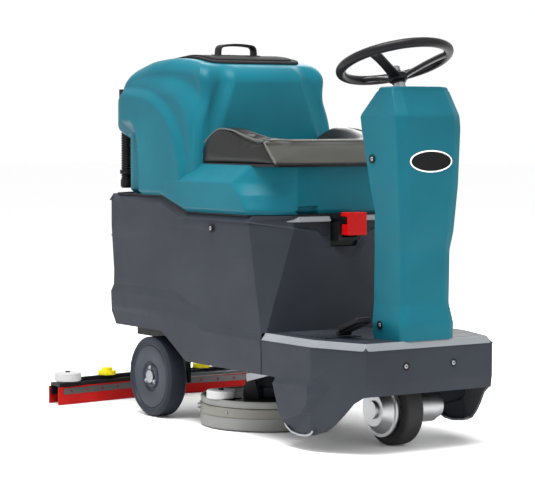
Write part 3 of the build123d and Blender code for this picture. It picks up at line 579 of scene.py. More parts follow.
def tank_tower():
    """The tower as one closed surface: foot, wall, rounded rim, crown, mouth, well and floor."""
    rises = np.linspace(0, 1, 92)
    wall = [tower_outline(r) for r in rises]
    top = wall[-1]
    middle = np.array([(TOWER_FRONT + TOWER_REAR) / 2, 0])
    half = np.array([(TOWER_FRONT - TOWER_REAR) / 2, MIDDLE_HALF])

    def drawn_in(distance):
        """The top ring's plan, drawn in by a distance on every side."""
        return middle + (top[:, :2] - middle) * (1 - distance / half)

    rows = []
    for angle in np.linspace(0, math.pi / 2, 9)[1:]:
        plan = drawn_in(CROWN_EDGE * (1 - math.cos(angle)))
        height = crown_height(plan[:, 0]) - CROWN_EDGE * (1 - math.sin(angle))
        rows.append(np.column_stack([plan, height]))
    around = np.arctan2(rows[-1][:, 1] / half[1], (rows[-1][:, 0] - middle[0]) / half[0])
    power = 5.0
    size = (np.abs(np.cos(around)) ** power + np.abs(np.sin(around)) ** power) ** (-1 / power)
    mouth = np.stack(
        [MOUTH_X + MOUTH_HALF_X * size * np.cos(around), MOUTH_HALF_Y * size * np.sin(around)], 1
    )
    for share in np.linspace(0, 1, 13)[1:]:
        plan = mix(rows[7][:, :2], mouth, share)
        rows.append(np.column_stack([plan, crown_height(plan[:, 0])]))
    for inward, down in ((3, 2), (5, 8), (5, 60), (5, 330)):
        plan = (MOUTH_X, 0) + (mouth - (MOUTH_X, 0)) * (1 - inward / MOUTH_HALF_Y)
        level = crown_height(plan[:, 0]) - down if down < 300 else np.full(len(plan), 730.0)
        rows.append(np.column_stack([plan, level]))
    rows.append(np.tile((MOUTH_X, 0, 726.0), (len(top), 1)))
    foot = [np.tile((middle[0], 0, seam_height(middle[0]) + 14), (len(top), 1))]
    inner = wall[0].copy()
    inner[:, :2] = middle + (inner[:, :2] - middle) * 0.97
    inner[:, 2] += 6
    foot.append(inner)
    return np.stack([*foot, *wall, *rows])


BASE_FRONT, BASE_REAR = -268.0, -900.0
BASE_TOP, SHOULDER = 790.0, 742.0
FRONT_HALF = 150.0
NOTCH_Y, NOTCH_HALF, NOTCH_TOP, NOTCH_DEPTH = -112.0, 36.0, 675.0, 17.0


def corner_start(z):
    """Where the flat side of the seat base turns into its scooped front corner."""
    return np.interp(z, [648, 668, 707, 742, 800], [-346, -354, -382, -431, -470])


def base_outline(z_share):
    """One closed ring of the seat base: front with its notch, scooped corner, side and rear."""
    def height(x):
        """Height of the ring at a station."""
        return mix(seam_height(x) + SEAM_GAP, BASE_TOP, z_share)

    y_front = np.linspace(-FRONT_HALF, FRONT_HALF, 121)
    z_front = height(np.full(y_front.shape, BASE_FRONT))
    flare = np.clip((NOTCH_TOP - z_front) * 0.25, 0, 8)
    in_notch = smooth_step((NOTCH_HALF + flare - np.abs(y_front - NOTCH_Y)) / 4)
    in_notch = in_notch * smooth_step((NOTCH_TOP - z_front) / 4)
    x_front = BASE_FRONT - NOTCH_DEPTH * in_notch - 0.6 * lip(z_front, SEAM_FRONT[1])
    level = z_front[0]
    start = corner_start(level)
    share = np.linspace(1, 0, 26)[1:]
    corner_x = mix(start, BASE_FRONT, share)
    corner_half = TANK_HALF - (TANK_HALF - FRONT_HALF) * share**1.4
    side_x = np.linspace(start, BASE_REAR, 50)[1:]
    x = np.concatenate([corner_x, side_x])
    z = height(x)
    shoulder_slope = 0.81
    proud = 0.6 - 4.6 * smooth_step((-790 - side_x) / 60)
    width = np.concatenate([corner_half, TANK_HALF + proud])
    shoulder = TANK_HALF + 0.6 - shoulder_slope * np.clip(z - SHOULDER, 0, None)
    width = np.minimum(width, shoulder) - lip(z, seam_height(x))
    left = np.stack([x, width, z], 1)
    right = left[::-1] * (1, -1, 1)
    ring = np.concatenate([np.stack([x_front, y_front, z_front], 1), left, right])
    return np.vstack([ring, ring[:1]])


def seat_base():
    """The seat base as one closed surface: foot, wall with its shoulder, rounded rim and top."""
    shares = np.unique(np.concatenate([np.linspace(0, 0.25, 14), np.linspace(0.25, 1, 30)]))
    wall = [base_outline(s) for s in shares]
    top = wall[-1]
    middle = np.array([(BASE_FRONT + BASE_REAR) / 2, 0, 0])
    rows = []
    for angle in np.linspace(0, math.pi / 2, 4)[1:]:
        ring = top.copy()
        shrink = 1 - 5 * (1 - math.cos(angle)) / np.array([316, 240])
        ring[:, :2] = middle[:2] + (ring[:, :2] - middle[:2]) * shrink
        ring[:, 2] += 5 * math.sin(angle)
        rows.append(ring)
    rows.append(np.tile((middle[0], 0, BASE_TOP + 5), (len(top), 1)))
    foot = [np.tile((middle[0], 0, SEAM_FRONT[1] + 20), (len(top), 1))]
    return np.stack([*foot, *wall, *rows])


piece(
    "recovery_tank_shell", [tank_tower(), seat_base()], teal, "recovery_tank",
    ["recovery_tank"], sharp_deg=50,
)


# ---------------------------------------------------------------- lid and handle

LID_X, LID_HALF_Y, LID_THICK = (-1068.0, -700.0), 172.0, 8.0
HANDLE_X = -825.0


def on_crown(p):
    """Carries a plate onto the crown: its height follows the crown's line."""
    return np.column_stack([p[:, 0], p[:, 1], crown_height(p[:, 0]) + p[:, 2]])


def lid_outline(margin, radius):
    """The lid's rounded rectangle, drawn in by margin, with points close enough to bend."""
    x0, x1 = LID_X[0] + margin, LID_X[1] - margin
    y = LID_HALF_Y - margin
    return evened(filleted([(x0, -y), (x1, -y), (x1, y), (x0, y)], radius, 9), 14)


piece(
    "tank_lid_moulding",
    [
        slab(lid_outline(0, 46), -1, LID_THICK, 3, on_crown),
        slab(lid_outline(20, 30), LID_THICK - 2, LID_THICK + 4, 2.5, on_crown),
        slab(lid_outline(32, 24) * (1, 0.96), -16, 0, 3, on_crown),
    ],
    lid_black,
    "lid",
    ["tank_lid"],
)
handle_path = filleted([(-68, 1122), (-65, 1161), (65, 1161), (68, 1122)], 14, 7, closed=False)
handle_path = evened(handle_path, 10, closed=False)
handle_rise = 5 * np.clip(1 - (handle_path[:, 0] / 62) ** 2, 0, 1) * (handle_path[:, 1] > 1140)
handle_line = np.column_stack(
    [np.full(len(handle_path), HANDLE_X), handle_path[:, 0], handle_path[:, 1] - 3 + handle_rise]
)
handle_foot = filleted([(-846, -82), (-804, -82), (-804, 82), (-846, 82)], 8, 5)
piece(
    "lid_handle_bow",
    [
        bar(handle_line, filleted(rectangle(4, 16), 3.5, 4), up=(1, 0, 0)),
        slab(handle_foot, 9, 14, 1.5, on_crown),
    ],
    black_plastic,
    "lid",
    ["lid_handle"],
)


# ---------------------------------------------------------------- solution tank (the body)

BODY_HALF = 283.0
SIDE_INSET, CREASE_REAR, CREASE_FRONT = 8.0, -1200.0, -200.0
UPPER_CREASE = [(CREASE_REAR, 402), (-738, 403), (-491, 310), (CREASE_FRONT, 308)]
LOWER_CREASE = [(CREASE_REAR, 379), (-765, 378), (-575, 293), (CREASE_FRONT, 289)]
PLUG_SHIFT = np.array([0, 22, 14])
PLUG_Y = float(sum(corner.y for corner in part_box("disconnect_socket")) / 2 / MM) + PLUG_SHIFT[1]
POCKET_HALF, POCKET_LOW, POCKET_HIGH, POCKET_BACK = 50.5, 540.0, 632.0, -303.0
POCKET_TOP_RISE = 6.0
FRONT_WALL, REAR_WALL, KICK_HALF, KICK_HEIGHT = -262.5, -1095.0, 240.0, 110.0
# How far the rear wall stands in at each height.
WAIST = [(193, 22), (280, 14), (380, 8), (400, 14), (450, 15), (592, 0), (700, 0)]
FRAME_OUTER = [(-237, 618), (-100, 595), (-40, 523), (40, 523), (100, 595), (237, 618)]
FRAME_INNER = [(-230, 623), (-92, 606), (-46, 552), (46, 552), (92, 606), (230, 623)]
KICK_LINE = [(-283, 325), (-158, 389), (-49, 432), (49, 432), (158, 389), (283, 325)]
FRAME_DEPTH, KICK_OUT = 11.0, 10.0


def side_cuts(line):
    """Planes across the machine through each stretch of a side line of (X, Z) points."""
    ends = zip(line[:-1], line[1:])
    return [((x0, 0, z0), (z1 - z0, 0, x0 - x1)) for (x0, z0), (x1, z1) in ends]


def level_cut(z):
    """The level plane at a height."""
    return (0, 0, z), (0, 0, 1)


def front_cuts(line, shift=0.0):
    """Planes along the machine through each stretch of a front line of (Y, Z) points."""
    return [
        ((0, y0 + shift, z0), (0, z1 - z0, y0 - y1))
        for (y0, z0), (y1, z1) in zip(line[:-1], line[1:])
    ]


def line_at(line, where):
    """Height of a polyline at a station."""
    stations, heights = zip(*line)
    return np.interp(where, stations, heights)


def pocket_moved(p):
    """Moves the plug's pocket across and up by the plug's shift, its top stopping under the
    seam."""
    x, y, z = p.T.copy()
    inside = (np.abs(y) < POCKET_HALF) & (x > POCKET_BACK)
    inside &= (z > POCKET_LOW - 1) & (z < POCKET_HIGH + 1)
    ends = [POCKET_LOW + PLUG_SHIFT[2], POCKET_HIGH + POCKET_TOP_RISE]
    lifted = np.interp(z, [POCKET_LOW, POCKET_HIGH], ends)
    return np.stack([x, np.where(inside, y + PLUG_SHIFT[1], y), np.where(inside, lifted, z)], 1)


def body_shape(p):
    """Sets the side's upper panel in behind a sloping band, sinks the plug's frame into the front
    wall, kicks the wall's foot forward and gives the rear a waist."""
    x, y, z = pocket_moved(p).T.copy()
    on_side = np.abs(y) > BODY_HALF - 0.2
    low, high = line_at(LOWER_CREASE, x), line_at(UPPER_CREASE, x)
    share = np.clip((z - low) / (high - low), 0, 1)
    y = np.where(on_side, np.sign(y) * (np.abs(y) - SIDE_INSET * share), y)
    on_front = x > FRONT_WALL
    across = y - PLUG_Y
    outer, inner = line_at(FRAME_OUTER, across), line_at(FRAME_INNER, across)
    sunk = np.clip((z - outer) / (inner - outer), 0, 1)
    x = np.where(on_front, x - FRAME_DEPTH * sunk, x)
    kicked = np.clip((line_at(KICK_LINE, y) - z) / KICK_HEIGHT, 0, 1)
    x = np.where(on_front & (np.abs(y) < KICK_HALF), x + KICK_OUT * kicked, x)
    x = np.where(x < REAR_WALL, x + line_at(WAIST, z), x)
    return np.stack([x, y, z], 1)


body_cuts = (
    side_cuts(UPPER_CREASE)
    + side_cuts(LOWER_CREASE)
    + front_cuts(FRAME_OUTER[:3], PLUG_Y)
    + front_cuts(FRAME_OUTER[2:], PLUG_Y)
    + front_cuts(FRAME_INNER[:3], PLUG_Y)
    + front_cuts(FRAME_INNER[2:], PLUG_Y)
    + front_cuts(KICK_LINE)
    + [level_cut(592), level_cut(450)]
)
copied(
    "solution_tank_moulding", "solution_tank", grey, "root", body_shape, 2.5,
    body_cuts,
)


# ---------------------------------------------------------------- steering column cover

# Height, back X, corner X, corner half-width, front X, front half-width.
COLUMN = [
    (312.3, 25, 150, 94, 158, 72),
    (356, 22, 150, 97, 160, 74),
    (412, 16, 142, 87, 150, 62),
    (560, 20, 143, 88, 150, 62),
    (612, 30, 150, 96, 158, 66),
    (668, 36, 155, 99, 164, 62),
    (746, 22, 156, 107, 165, 78),
    (903, -8, 157, 114, 166, 82),
    (938, -13, 150, 115, 168, 80),
    (1010, 52, 118, 102, 128, 74),
    (1020, 62, 112, 84, 120, 68),
]

COLUMN_FOOT, COLUMN_TOP, COLUMN_CROWN = 312.3, 1010, 10
# How far the cover's back edges stand in from the CAD's, so that the back panel's edge shows.
PANEL_REVEAL = 2.0


def column_ring(z):
    """One ring of the cover at height z: its plan is read from the sections each side of z,
    softened over a few millimetres, with rounded corners."""
    rows = np.array(COLUMN, float)
    shifts = np.linspace(-5, 5, 5)
    back, corner, half, front, half_front = (
        float(np.mean(np.interp(z + shifts, rows[:, 0], rows[:, k]))) for k in range(1, 6)
    )
    back += PANEL_REVEAL
    plan = [(back, -half), (corner, -half), (front, -half_front), (front, half_front),
            (corner, half), (back, half)]
    outline = filleted(plan, [3, 9, 7, 7, 9, 3], 6)
    return np.column_stack([outline, np.full(len(outline), z)])


def column_surface():
    """The cover as one closed surface: rings up its height, a rounded top, and closed ends."""
    levels = np.unique(
        np.concatenate(
            [np.linspace(COLUMN_FOOT, COLUMN_TOP, 118), [row[0] for row in COLUMN[1:10]]]
        )
    )
    rings = [column_ring(z) for z in levels]
    top = rings[-1]
    middle = top.mean(0)
    for angle in np.linspace(0, math.pi / 2, 5)[1:]:
        ring = top.copy()
        ring[:, :2] = middle[:2] + (top[:, :2] - middle[:2]) * (1 - 0.13 * (1 - math.cos(angle)))
        ring[:, 2] = COLUMN_TOP + COLUMN_CROWN * math.sin(angle)
        rings.append(ring)
    rings.append(np.tile((middle[0], 0, COLUMN_TOP + COLUMN_CROWN), (len(top), 1)))
    rings.insert(0, np.tile((90, 0, COLUMN_FOOT), (len(top), 1)))
    grid = np.stack(rings)
    return np.concatenate([grid, grid[:, :1]], 1)


piece(
    "column_cover_moulding", [column_surface()], teal, "root", ["column_cover"],
    sharp_deg=60,
)


# ---------------------------------------------------------------- seat cushion

SEAT_REAR, SEAT_FRONT, SEAT_HALF, SEAT_FLOOR = -668.0, -258.0, 236.0, 797.0
BOLSTER = [(-668, 836), (-654, 850), (-629, 868), (-592, 890), (-552, 903), (-485, 898),
           (-420, 881), (-354, 868), (-250, 866)]
# The apron leans back by APRON_LEAN over APRON_RISE of height.
SEAT_DISH, APRON_LEAN, APRON_RISE = 848.0, 62.0, 70.0
SEAT_LIP = 865.0


def seat_top(x, y):
    """Height of the seat: two side bolsters that rise over its rear half, a dished middle
    between them and a level lip along the front."""
    stations, heights = zip(*BOLSTER)
    ridge = np.mean([np.interp(x + s, stations, heights) for s in (-14, -7, 0, 7, 14)], 0)
    front_lip = smooth_step((x + 400) / 60)
    middle = mix(SEAT_DISH, SEAT_LIP, front_lip)
    return mix(middle, ridge, smooth_step((np.abs(y) - 118) / 70))


def seat_form():
    """The cushion before it swells: its outline is carried up the sides, with the front apron
    leaning back, and then drawn in over the top."""
    plan = [(SEAT_REAR, -SEAT_HALF), (SEAT_FRONT, -SEAT_HALF), (SEAT_FRONT, SEAT_HALF),
            (SEAT_REAR, SEAT_HALF)]
    outline = evened(filleted(plan, [26, 16, 16, 26], 9), 9)
    middle = np.array([-450.0, 0.0])
    floor = np.full(len(outline), SEAT_FLOOR)
    rows = [
        np.column_stack([middle + (outline - middle) * share, floor]) for share in (0, 0.5, 0.97)
    ]

    def leaned(plan, rise):
        """The outline at a share of the height: the apron leans and the back bulges."""
        forward = smooth_step((plan[:, 0] - SEAT_FRONT + 60) / 60)
        out = plan.copy()
        out[:, 0] -= APRON_LEAN * rise * forward
        out[:, 0] += 14 * rise * (1 - rise) * (plan[:, 0] < -600)
        return out

    for rise in np.linspace(0.05, 1, 12):
        plan = leaned(outline, rise)
        top = seat_top(plan[:, 0], plan[:, 1])
        rows.append(np.column_stack([plan, mix(SEAT_FLOOR, top - 5, rise)]))
    for share in (0.985, 0.95, *np.linspace(0.88, 0, 18)):
        plan = middle + (leaned(outline, 1.0) - middle) * share
        top = seat_top(plan[:, 0], plan[:, 1]) - (5 if share > 0.98 else 0)
        rows.append(np.column_stack([plan, top]))
    grid = np.stack(rows)
    return np.concatenate([grid, grid[:, :1]], 1)


def seat_vinyl():
    """Coated black vinyl with a painted highlight: a slanting plane, the apron's seam, parts the
    front panel, painted a paler grey for the light that it reflects, from the black sides and top;
    a fine leather grain covers both."""
    # The front panel's paler grey is painted highlight: the light that the apron's face reflects.
    black, front_painted_highlight = "#131313", "#383834"
    material, tree, shader, where = new_material("coated_vinyl_painted_front_highlight", black, 0.32)
    shader.inputs["Specular IOR Level"].default_value = 0.2
    slope = APRON_LEAN / APRON_RISE
    seam = (SEAT_FRONT - 10) * MM + FRONT_AXLE_X + slope * SEAT_FLOOR * MM
    lean = add_node(tree, "ShaderNodeVectorMath", {"operation": "DOT_PRODUCT"}, {0: where})
    lean.inputs[1].default_value = (1.0, 0.0, slope)
    # front masks the front panel, which gets the painted highlight.
    front = spread(tree, lean.outputs["Value"], 0.0, 1.0, (seam - 0.001, seam + 0.001))
    tree.links.new(two_tone(tree, front, black, front_painted_highlight), shader.inputs["Base Color"])
    grained(tree, shader, where, 0.0018, 0.00015)
    gloss = spread(tree, mottle(tree, where, 0.05), 0.28, 0.4)
    tree.links.new(gloss, shader.inputs["Roughness"])
    return material


# The even mesh's spacing and the furthest that a point may swell are metres.
VOXEL, PRESSURE, SWELL_CAP, SWELL_FRAMES = 0.0055, 4.0, 0.006, 20


def swollen(obj):
    """Remeshes the cushion evenly, swells it by a cloth simulation with inside pressure, caps how
    far any point moves, and applies the result."""
    scene = bpy.context.scene
    remesh = obj.modifiers.new("even_mesh", "REMESH")
    remesh.mode, remesh.voxel_size = "VOXEL", VOXEL
    bpy.context.view_layer.objects.active = obj
    bpy.ops.object.select_all(action="DESELECT")
    obj.select_set(True)
    bpy.ops.object.modifier_apply(modifier="even_mesh")
    count = len(obj.data.vertices)
    rest = np.empty(count * 3)
    obj.data.vertices.foreach_get("co", rest)
    rest = rest.reshape(-1, 3)
    held = obj.vertex_groups.new(name="seat_pan")
    low = np.flatnonzero(rest[:, 2] < (SEAT_FLOOR + 6) * MM)
    held.add(low.tolist(), 1.0, "REPLACE")
    cloth = obj.modifiers.new("swelling", "CLOTH")
    cloth.settings.quality = 6
    cloth.settings.mass = 0.35
    cloth.settings.tension_stiffness = cloth.settings.compression_stiffness = 40
    cloth.settings.bending_stiffness = 4
    cloth.settings.use_pressure = True
    cloth.settings.uniform_pressure_force = PRESSURE
    cloth.settings.effector_weights.gravity = 0
    cloth.settings.vertex_group_mass = "seat_pan"
    scene.frame_start, scene.frame_end = 1, SWELL_FRAMES
    for step in range(1, SWELL_FRAMES + 1):
        scene.frame_set(step)
    graph = bpy.context.evaluated_depsgraph_get()
    moved = np.empty(count * 3)
    obj.evaluated_get(graph).data.vertices.foreach_get("co", moved)
    move = moved.reshape(-1, 3) - rest
    length = np.linalg.norm(move, axis=1)[:, None] + 1e-9
    move *= np.minimum(1, SWELL_CAP / length)
    obj.modifiers.remove(cloth)
    obj.data.vertices.foreach_set("co", (rest + move).ravel())
    obj.data.update()
    scene.frame_set(1)
    obj.vertex_groups.clear()


seat_mesh = make_mesh("seat_cushion_cover", [seat_form()], 180)
seat_mesh.materials.append(seat_vinyl())
seat = linked("seat_cushion_cover", seat_mesh)
swollen(seat)
seat.data.shade_smooth()
finer = seat.modifiers.new("finer", "SUBSURF")
finer.levels = finer.render_levels = 1
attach(seat, "recovery_tank")
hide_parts("seat_cushion")


def piping(path):
    """A welt of round section laid along a seam."""
    return bar(evened(np.array(path, float), 8, closed=False), circle(2.6, 10))


APRON_TOP_X = SEAT_FRONT - APRON_LEAN
side_x = np.linspace(APRON_TOP_X + 2, -640, 40)
seam_y = np.full(40, SEAT_HALF - 1.5)
side_seam = np.column_stack([side_x, seam_y, seat_top(side_x, seam_y) - 1])
front_y = np.linspace(-(SEAT_HALF - 6), SEAT_HALF - 6, 30)
front_seam = np.column_stack(
    [np.full(30, APRON_TOP_X + 3), front_y, seat_top(np.full(30, APRON_TOP_X), front_y)]
)
corner_seam = np.array(
    [(APRON_TOP_X + 2, SEAT_HALF - 2, 862), (SEAT_FRONT - 30, SEAT_HALF, 832),
     (SEAT_FRONT - 1, SEAT_HALF - 3, 800)]
)
mirror = np.array([1, -1, 1])
seams = (side_seam, side_seam * mirror, front_seam, corner_seam, corner_seam * mirror)
# The welts' paler grey is painted highlight along the seat's edges.
piece("seat_welts", [piping(seam) for seam in seams], welt_painted_highlight, "recovery_tank")
pan_rear, pan_front, pan_half = SEAT_REAR + 6, SEAT_FRONT + 4, SEAT_HALF + 2
pan_plan = [(pan_rear, -pan_half), (pan_front, -pan_half), (pan_front, pan_half),
            (pan_rear, pan_half)]
pan_outline = evened(filleted(pan_plan, [30, 14, 14, 30], 7), 30)
piece(
    "seat_pan", [slab(pan_outline, 0, 9, 2, lambda p: p + (0, 0, BASE_TOP))], black_plastic,
    "recovery_tank",
)


# ---------------------------------------------------------------- seam gasket

def gasket_ring(rise):
    """The joint's ring at a height above the seam: front, facets, sides and rear."""
    plan = [(-274, -146), (-274, 146), (-356, 264), (-1110, 264), (-1152, 196), (-1152, -196),
            (-1110, -264), (-356, -264)]
    ring = evened(np.array(plan, float), 12)
    return np.column_stack([ring, seam_height(ring[:, 0]) + rise])


gasket_section = filleted([(-7, -3.4), (3, -3.4), (3, 3.4), (-7, 3.4)], 1.4, 3)
piece(
    "seam_gasket", [bar(gasket_ring(0.5), gasket_section, closed=True)], black_rubber, "root",
)


# ---------------------------------------------------------------- rear wheels

WHEEL_R, HUB_R = 125.0, 106.0
REAR_AXLE_X = -890.0
WHEEL_FACE, WHEEL_BACK = 284.0, 218.0
BOLT_CIRCLE_R = 28.0

tyre_profile = filleted(
    [(HUB_R, 222), (HUB_R + 3, WHEEL_BACK), (117, WHEEL_BACK), (WHEEL_R, 226), (WHEEL_R, 276),
     (116, WHEEL_FACE), (HUB_R + 2, WHEEL_FACE), (HUB_R, 281)],
    [0, 1, 4, 5, 5, 4, 1.5, 0], 5, closed=False,
)
hub_profile = filleted(
    [(0, 276), (11, 276), (13, 273), (20, 273), (22, 277), (34, 277), (38, 270), (44, 270),
     (49, 277.5), (96, 278.5), (99, 275.5), (102, 275.5), (104.5, 281), (HUB_R, 281), (HUB_R, 222),
     (96, 222), (90, 230), (30, 230), (26, 226), (26, 222), (0, 222)],
    1.2, 3, closed=False,
)


def axle_bolts(side):
    """Three bolt heads and their washers on the hub's middle ring."""
    head = [(0, 282.5), (4.6, 282.5), (5.4, 281.5), (5.4, 278.4), (7.4, 278.4), (7.4, 277),
            (0, 277)]
    grids = []
    for angle in np.radians((90, 210, 330)):
        centre = (
            REAR_AXLE_X + BOLT_CIRCLE_R * math.cos(angle), 0,
            WHEEL_R + BOLT_CIRCLE_R * math.sin(angle),
        )
        grids.append(turned(head, centre, (0, side, 0), 12))
    return grids


closed_tyre = np.vstack([tyre_profile, tyre_profile[:1]])
for side, word in ((-1, "right"), (1, "left")):
    centre = (REAR_AXLE_X, 0, WHEEL_R)
    body = "rear_wheel_" + word
    piece("rear_tyre_tread_" + word, [turned(closed_tyre, centre, (0, side, 0), 120)], tyre_grey,
          body, ["rear_tyre_" + word], sharp_deg=50)
    piece("rear_hub_disc_" + word, [turned(hub_profile, centre, (0, side, 0), 96)], hub_grey, body,
          ["rear_hub_" + word], sharp_deg=50)
    piece("rear_hub_bolts_" + word, axle_bolts(side), bright_steel, body)


# ---------------------------------------------------------------- scrub deck

DECK = (-555.0, -58.0, 0.0)
RIM_SECTION = [(199, 70), (206.5, 70), (208, 86), (206, 91), (198, 91), (197, 86)]
BAND_SECTION = [(206, 41), (211, 41), (212, 44), (211, 66), (209, 69), (206, 69)]
SKIRT_SECTION = [(201, 4), (206, 3), (208, 7), (209.5, 40), (203, 41.5), (201, 38)]
SCREW_ANGLES, LATCH_ANGLE = (-160, -70, -20, 40, 110), -118


def deck_ring(section, corner_radius):
    """A closed ring about the deck's axis, from a section of (radius, height) corners."""
    profile = filleted(section, corner_radius, 4)
    return turned([*profile, profile[0]], DECK, (0, 0, 1), 128)


def outward(degrees):
    """The level direction at an angle round the deck."""
    angle = math.radians(degrees)
    return np.array([math.cos(angle), math.sin(angle), 0])


piece("deck_outer_rim", [deck_ring(RIM_SECTION, 1.6)], deck_grey, "scrub_deck")
piece("deck_clamp_band_strap", [deck_ring(BAND_SECTION, 1.2)], warm_grey, "scrub_deck",
      ["deck_clamp_band"])
piece("deck_skirt_apron", [deck_ring(SKIRT_SECTION, 1.2)], deck_grey, "scrub_deck",
      ["deck_skirt"])


def band_fixings():
    """Cap screws round the clamp band, and the two over-centre latches that close it."""
    grids = []
    for degrees in SCREW_ANGLES:
        out = outward(degrees)
        centre = np.array(DECK) + out * 211 + (0, 0, 56)
        grids.append(turned([(0, 4), (2.8, 4), (4, 2.6), (4.4, -2), (0, -2)], centre, out, 14))
    pin = [(0, 5), (3.4, 5), (4, 4), (4, -3), (0, -3)]
    for height in (60, 48):
        out = outward(LATCH_ANGLE)
        tangent = np.array([-out[1], out[0], 0])
        centre = np.array(DECK) + out * 213 + (0, 0, height)
        line = np.array([centre - tangent * 17, centre + tangent * 17 + out * 2])
        grids.append(bar(evened(line, 8, False), filleted(rectangle(3, 4), 1.2, 3)))
        grids.append(turned(pin, centre + tangent * 14, out, 14))
    return grids


piece("deck_band_fixings", band_fixings(), bright_steel, "scrub_deck")


# ---------------------------------------------------------------- drain hose

HOSE_FOOT = (-1158.0, -206.0, 0.0)
HOSE_R, RIB_PITCH, RIB_DEPTH = 17.0, 8.0, 2.6
LOWER_CUFF = [(0, 708), (15, 708), (19, 714), (19, 736), (0, 736)]
UPPER_CUFF = [(0, 975), (19.5, 975), (19.5, 990), (0, 990)]


def corrugated(low, high):
    """A ribbed hose wall: its radius swings by the ribs' depth once every pitch."""
    along = np.linspace(low, high, int((high - low) / RIB_PITCH * 8))
    swing = (0.5 + 0.5 * np.cos(2 * math.pi * along / RIB_PITCH)) ** 2
    wall = np.stack([HOSE_R - RIB_DEPTH * swing, along], 1)
    return np.vstack([[(0, low)], wall, [(HOSE_R - 4, high), (0, high)]])


cuffs = [filleted(cuff, 1.5, 3, False) for cuff in (LOWER_CUFF, UPPER_CUFF)]
piece(
    "drain_hose_wall",
    [turned(profile, HOSE_FOOT, (0, 0, 1), 40) for profile in (corrugated(730, 985), *cuffs)],
    black_rubber, "recovery_tank", ["drain_hose"],
)


# ---------------------------------------------------------------- bumper

LEDGE = [(-400, 178), (-199, 189), (37, 203), (300, 219)]
LEG_FRONT = [(-150, 20), (-112, 84), (-32, 104), (66, 203)]
LEG_OUT, LEG_SLOPE, LEG_SLANT = 12.0, 13.0, 0.7
FOLD_Z, FOLD_DROP, FOLD_BACK = 200.0, 34.0, 5.0


def raised_leg(x, z):
    """Share by which the wheel guard stands out: full under the ledge and behind its front."""
    below = line_at(LEDGE, x) - z
    stations, heights = zip(*LEG_FRONT)
    behind = (np.interp(z, heights, stations) - x) * LEG_SLANT
    return np.clip(np.minimum(below, behind) / LEG_SLOPE, 0, 1)


def bumper_shape(p):
    """Raises the guard on each side and folds the front wall back under a level line."""
    x, y, z = p.T.copy()
    outer = (np.abs(y) > 270) & (z < 280)
    y = np.where(outer, np.sign(y) * (np.abs(y) + LEG_OUT * raised_leg(x, z)), y)
    fold = np.clip((FOLD_Z - z) / FOLD_DROP, 0, 1)
    x = np.where((x > 120) & (z < FOLD_Z), x - FOLD_BACK * fold, x)
    return np.stack([x, y, z], 1)


def shifted(line, dx, dz):
    """A side line moved along and up."""
    return [(x + dx, z + dz) for x, z in line]


ledge, leg = LEDGE[1:3], LEG_FRONT[1:]
leg_cuts = side_cuts(ledge) + side_cuts(shifted(ledge, 0, -LEG_SLOPE))
leg_cuts += side_cuts(leg) + side_cuts(shifted(leg, -LEG_SLOPE / LEG_SLANT, 0))
leg_cuts += [level_cut(FOLD_Z), level_cut(FOLD_Z - FOLD_DROP)]
copied("front_bumper_moulding", "front_bumper", grey, "root", bumper_shape, 3.0,
       leg_cuts)


# ---------------------------------------------------------------- CAD nodes that stay

# The radius in mm to which each one's edges are rounded.
ROUNDED = {
    0.5: ["key_switch"],
    0.6: ["hose_clips", "front_blade", "rear_blade"],
    0.8: ["tank_hinge_leaves", "pedal_arm", "brush_button", "squeegee_button"],
    1.0: ["column_back_panel", "deck_arms", "squeegee_arm", "squeegee_frame", "tank_hinge",
          "drive_hub", "squeegee_knob_left", "squeegee_knob_right"],
    1.2: ["deck_housing", "drain_cap", "guard_strips"],
    1.5: ["chassis_frame", "console_panel", "drive_bracket", "gear_housing", "drive_motor",
          "vacuum_motor", "deck_motor"],
    3.0: ["battery_left", "battery_right"],
}
for width, names in ROUNDED.items():
    for name in names:
        # The CAD's triangles are loose, so they're joined first.
        NODES[name].modifiers.new("join", "WELD").merge_threshold = SAME_CAD_POINT
        rounded(NODES[name], width, 2, 28, False)


# ---------------------------------------------------------------- steering wheel

WHEEL_CENTRE = np.array([-2.0, 0.0, 1092.0])
TILT = math.radians(19)
WHEEL_AXIS = np.array([-math.sin(TILT), 0, math.cos(TILT)])
WHEEL_RIGHT = np.array([math.cos(TILT), 0, math.sin(TILT)])
RIM_R, GRIP_R, SPOKE_DROP = 156.0, 14.0, 46.0
HUB_STEPS = [(0, -30), (13, -30), (15, -34), (22, -36), (27, -40), (27, -58), (20, -62),
             (20, -66), (0, -66)]


def wheel_spoke(degrees):
    """One dished spoke: a rounded bar whose width narrows in the middle and whose height falls from
    the rim to the hub as the distance left to the power 1.3."""
    angle = math.radians(degrees)
    out = WHEEL_RIGHT * math.cos(angle) + np.array([0, 1, 0]) * math.sin(angle)
    across = np.cross(WHEEL_AXIS, out)
    share = np.linspace(0, 1, 15)
    reach = 14 + share * (RIM_R - 16)
    drop = -3 - SPOKE_DROP * (1 - share) ** 1.3
    half = 13 + 4 * (1 - share) ** 2 + 5 * share**3
    turn = np.linspace(0, 2 * math.pi, 25)
    turn[-1] = 0.0
    side = np.sign(np.cos(turn)) * np.abs(np.cos(turn)) ** 0.5
    lift = np.sign(np.sin(turn)) * np.abs(np.sin(turn)) ** 0.8
    middle = WHEEL_CENTRE + reach[:, None] * out + drop[:, None] * WHEEL_AXIS
    grid = (
        middle[:, None]
        - (half[:, None] * side[None])[..., None] * across
        + (7.0 * lift)[None, :, None] * WHEEL_AXIS
    )
    ends = [np.tile(middle[end], (1, 25, 1)) for end in (0, -1)]
    return np.concatenate([ends[0], grid, ends[1]])


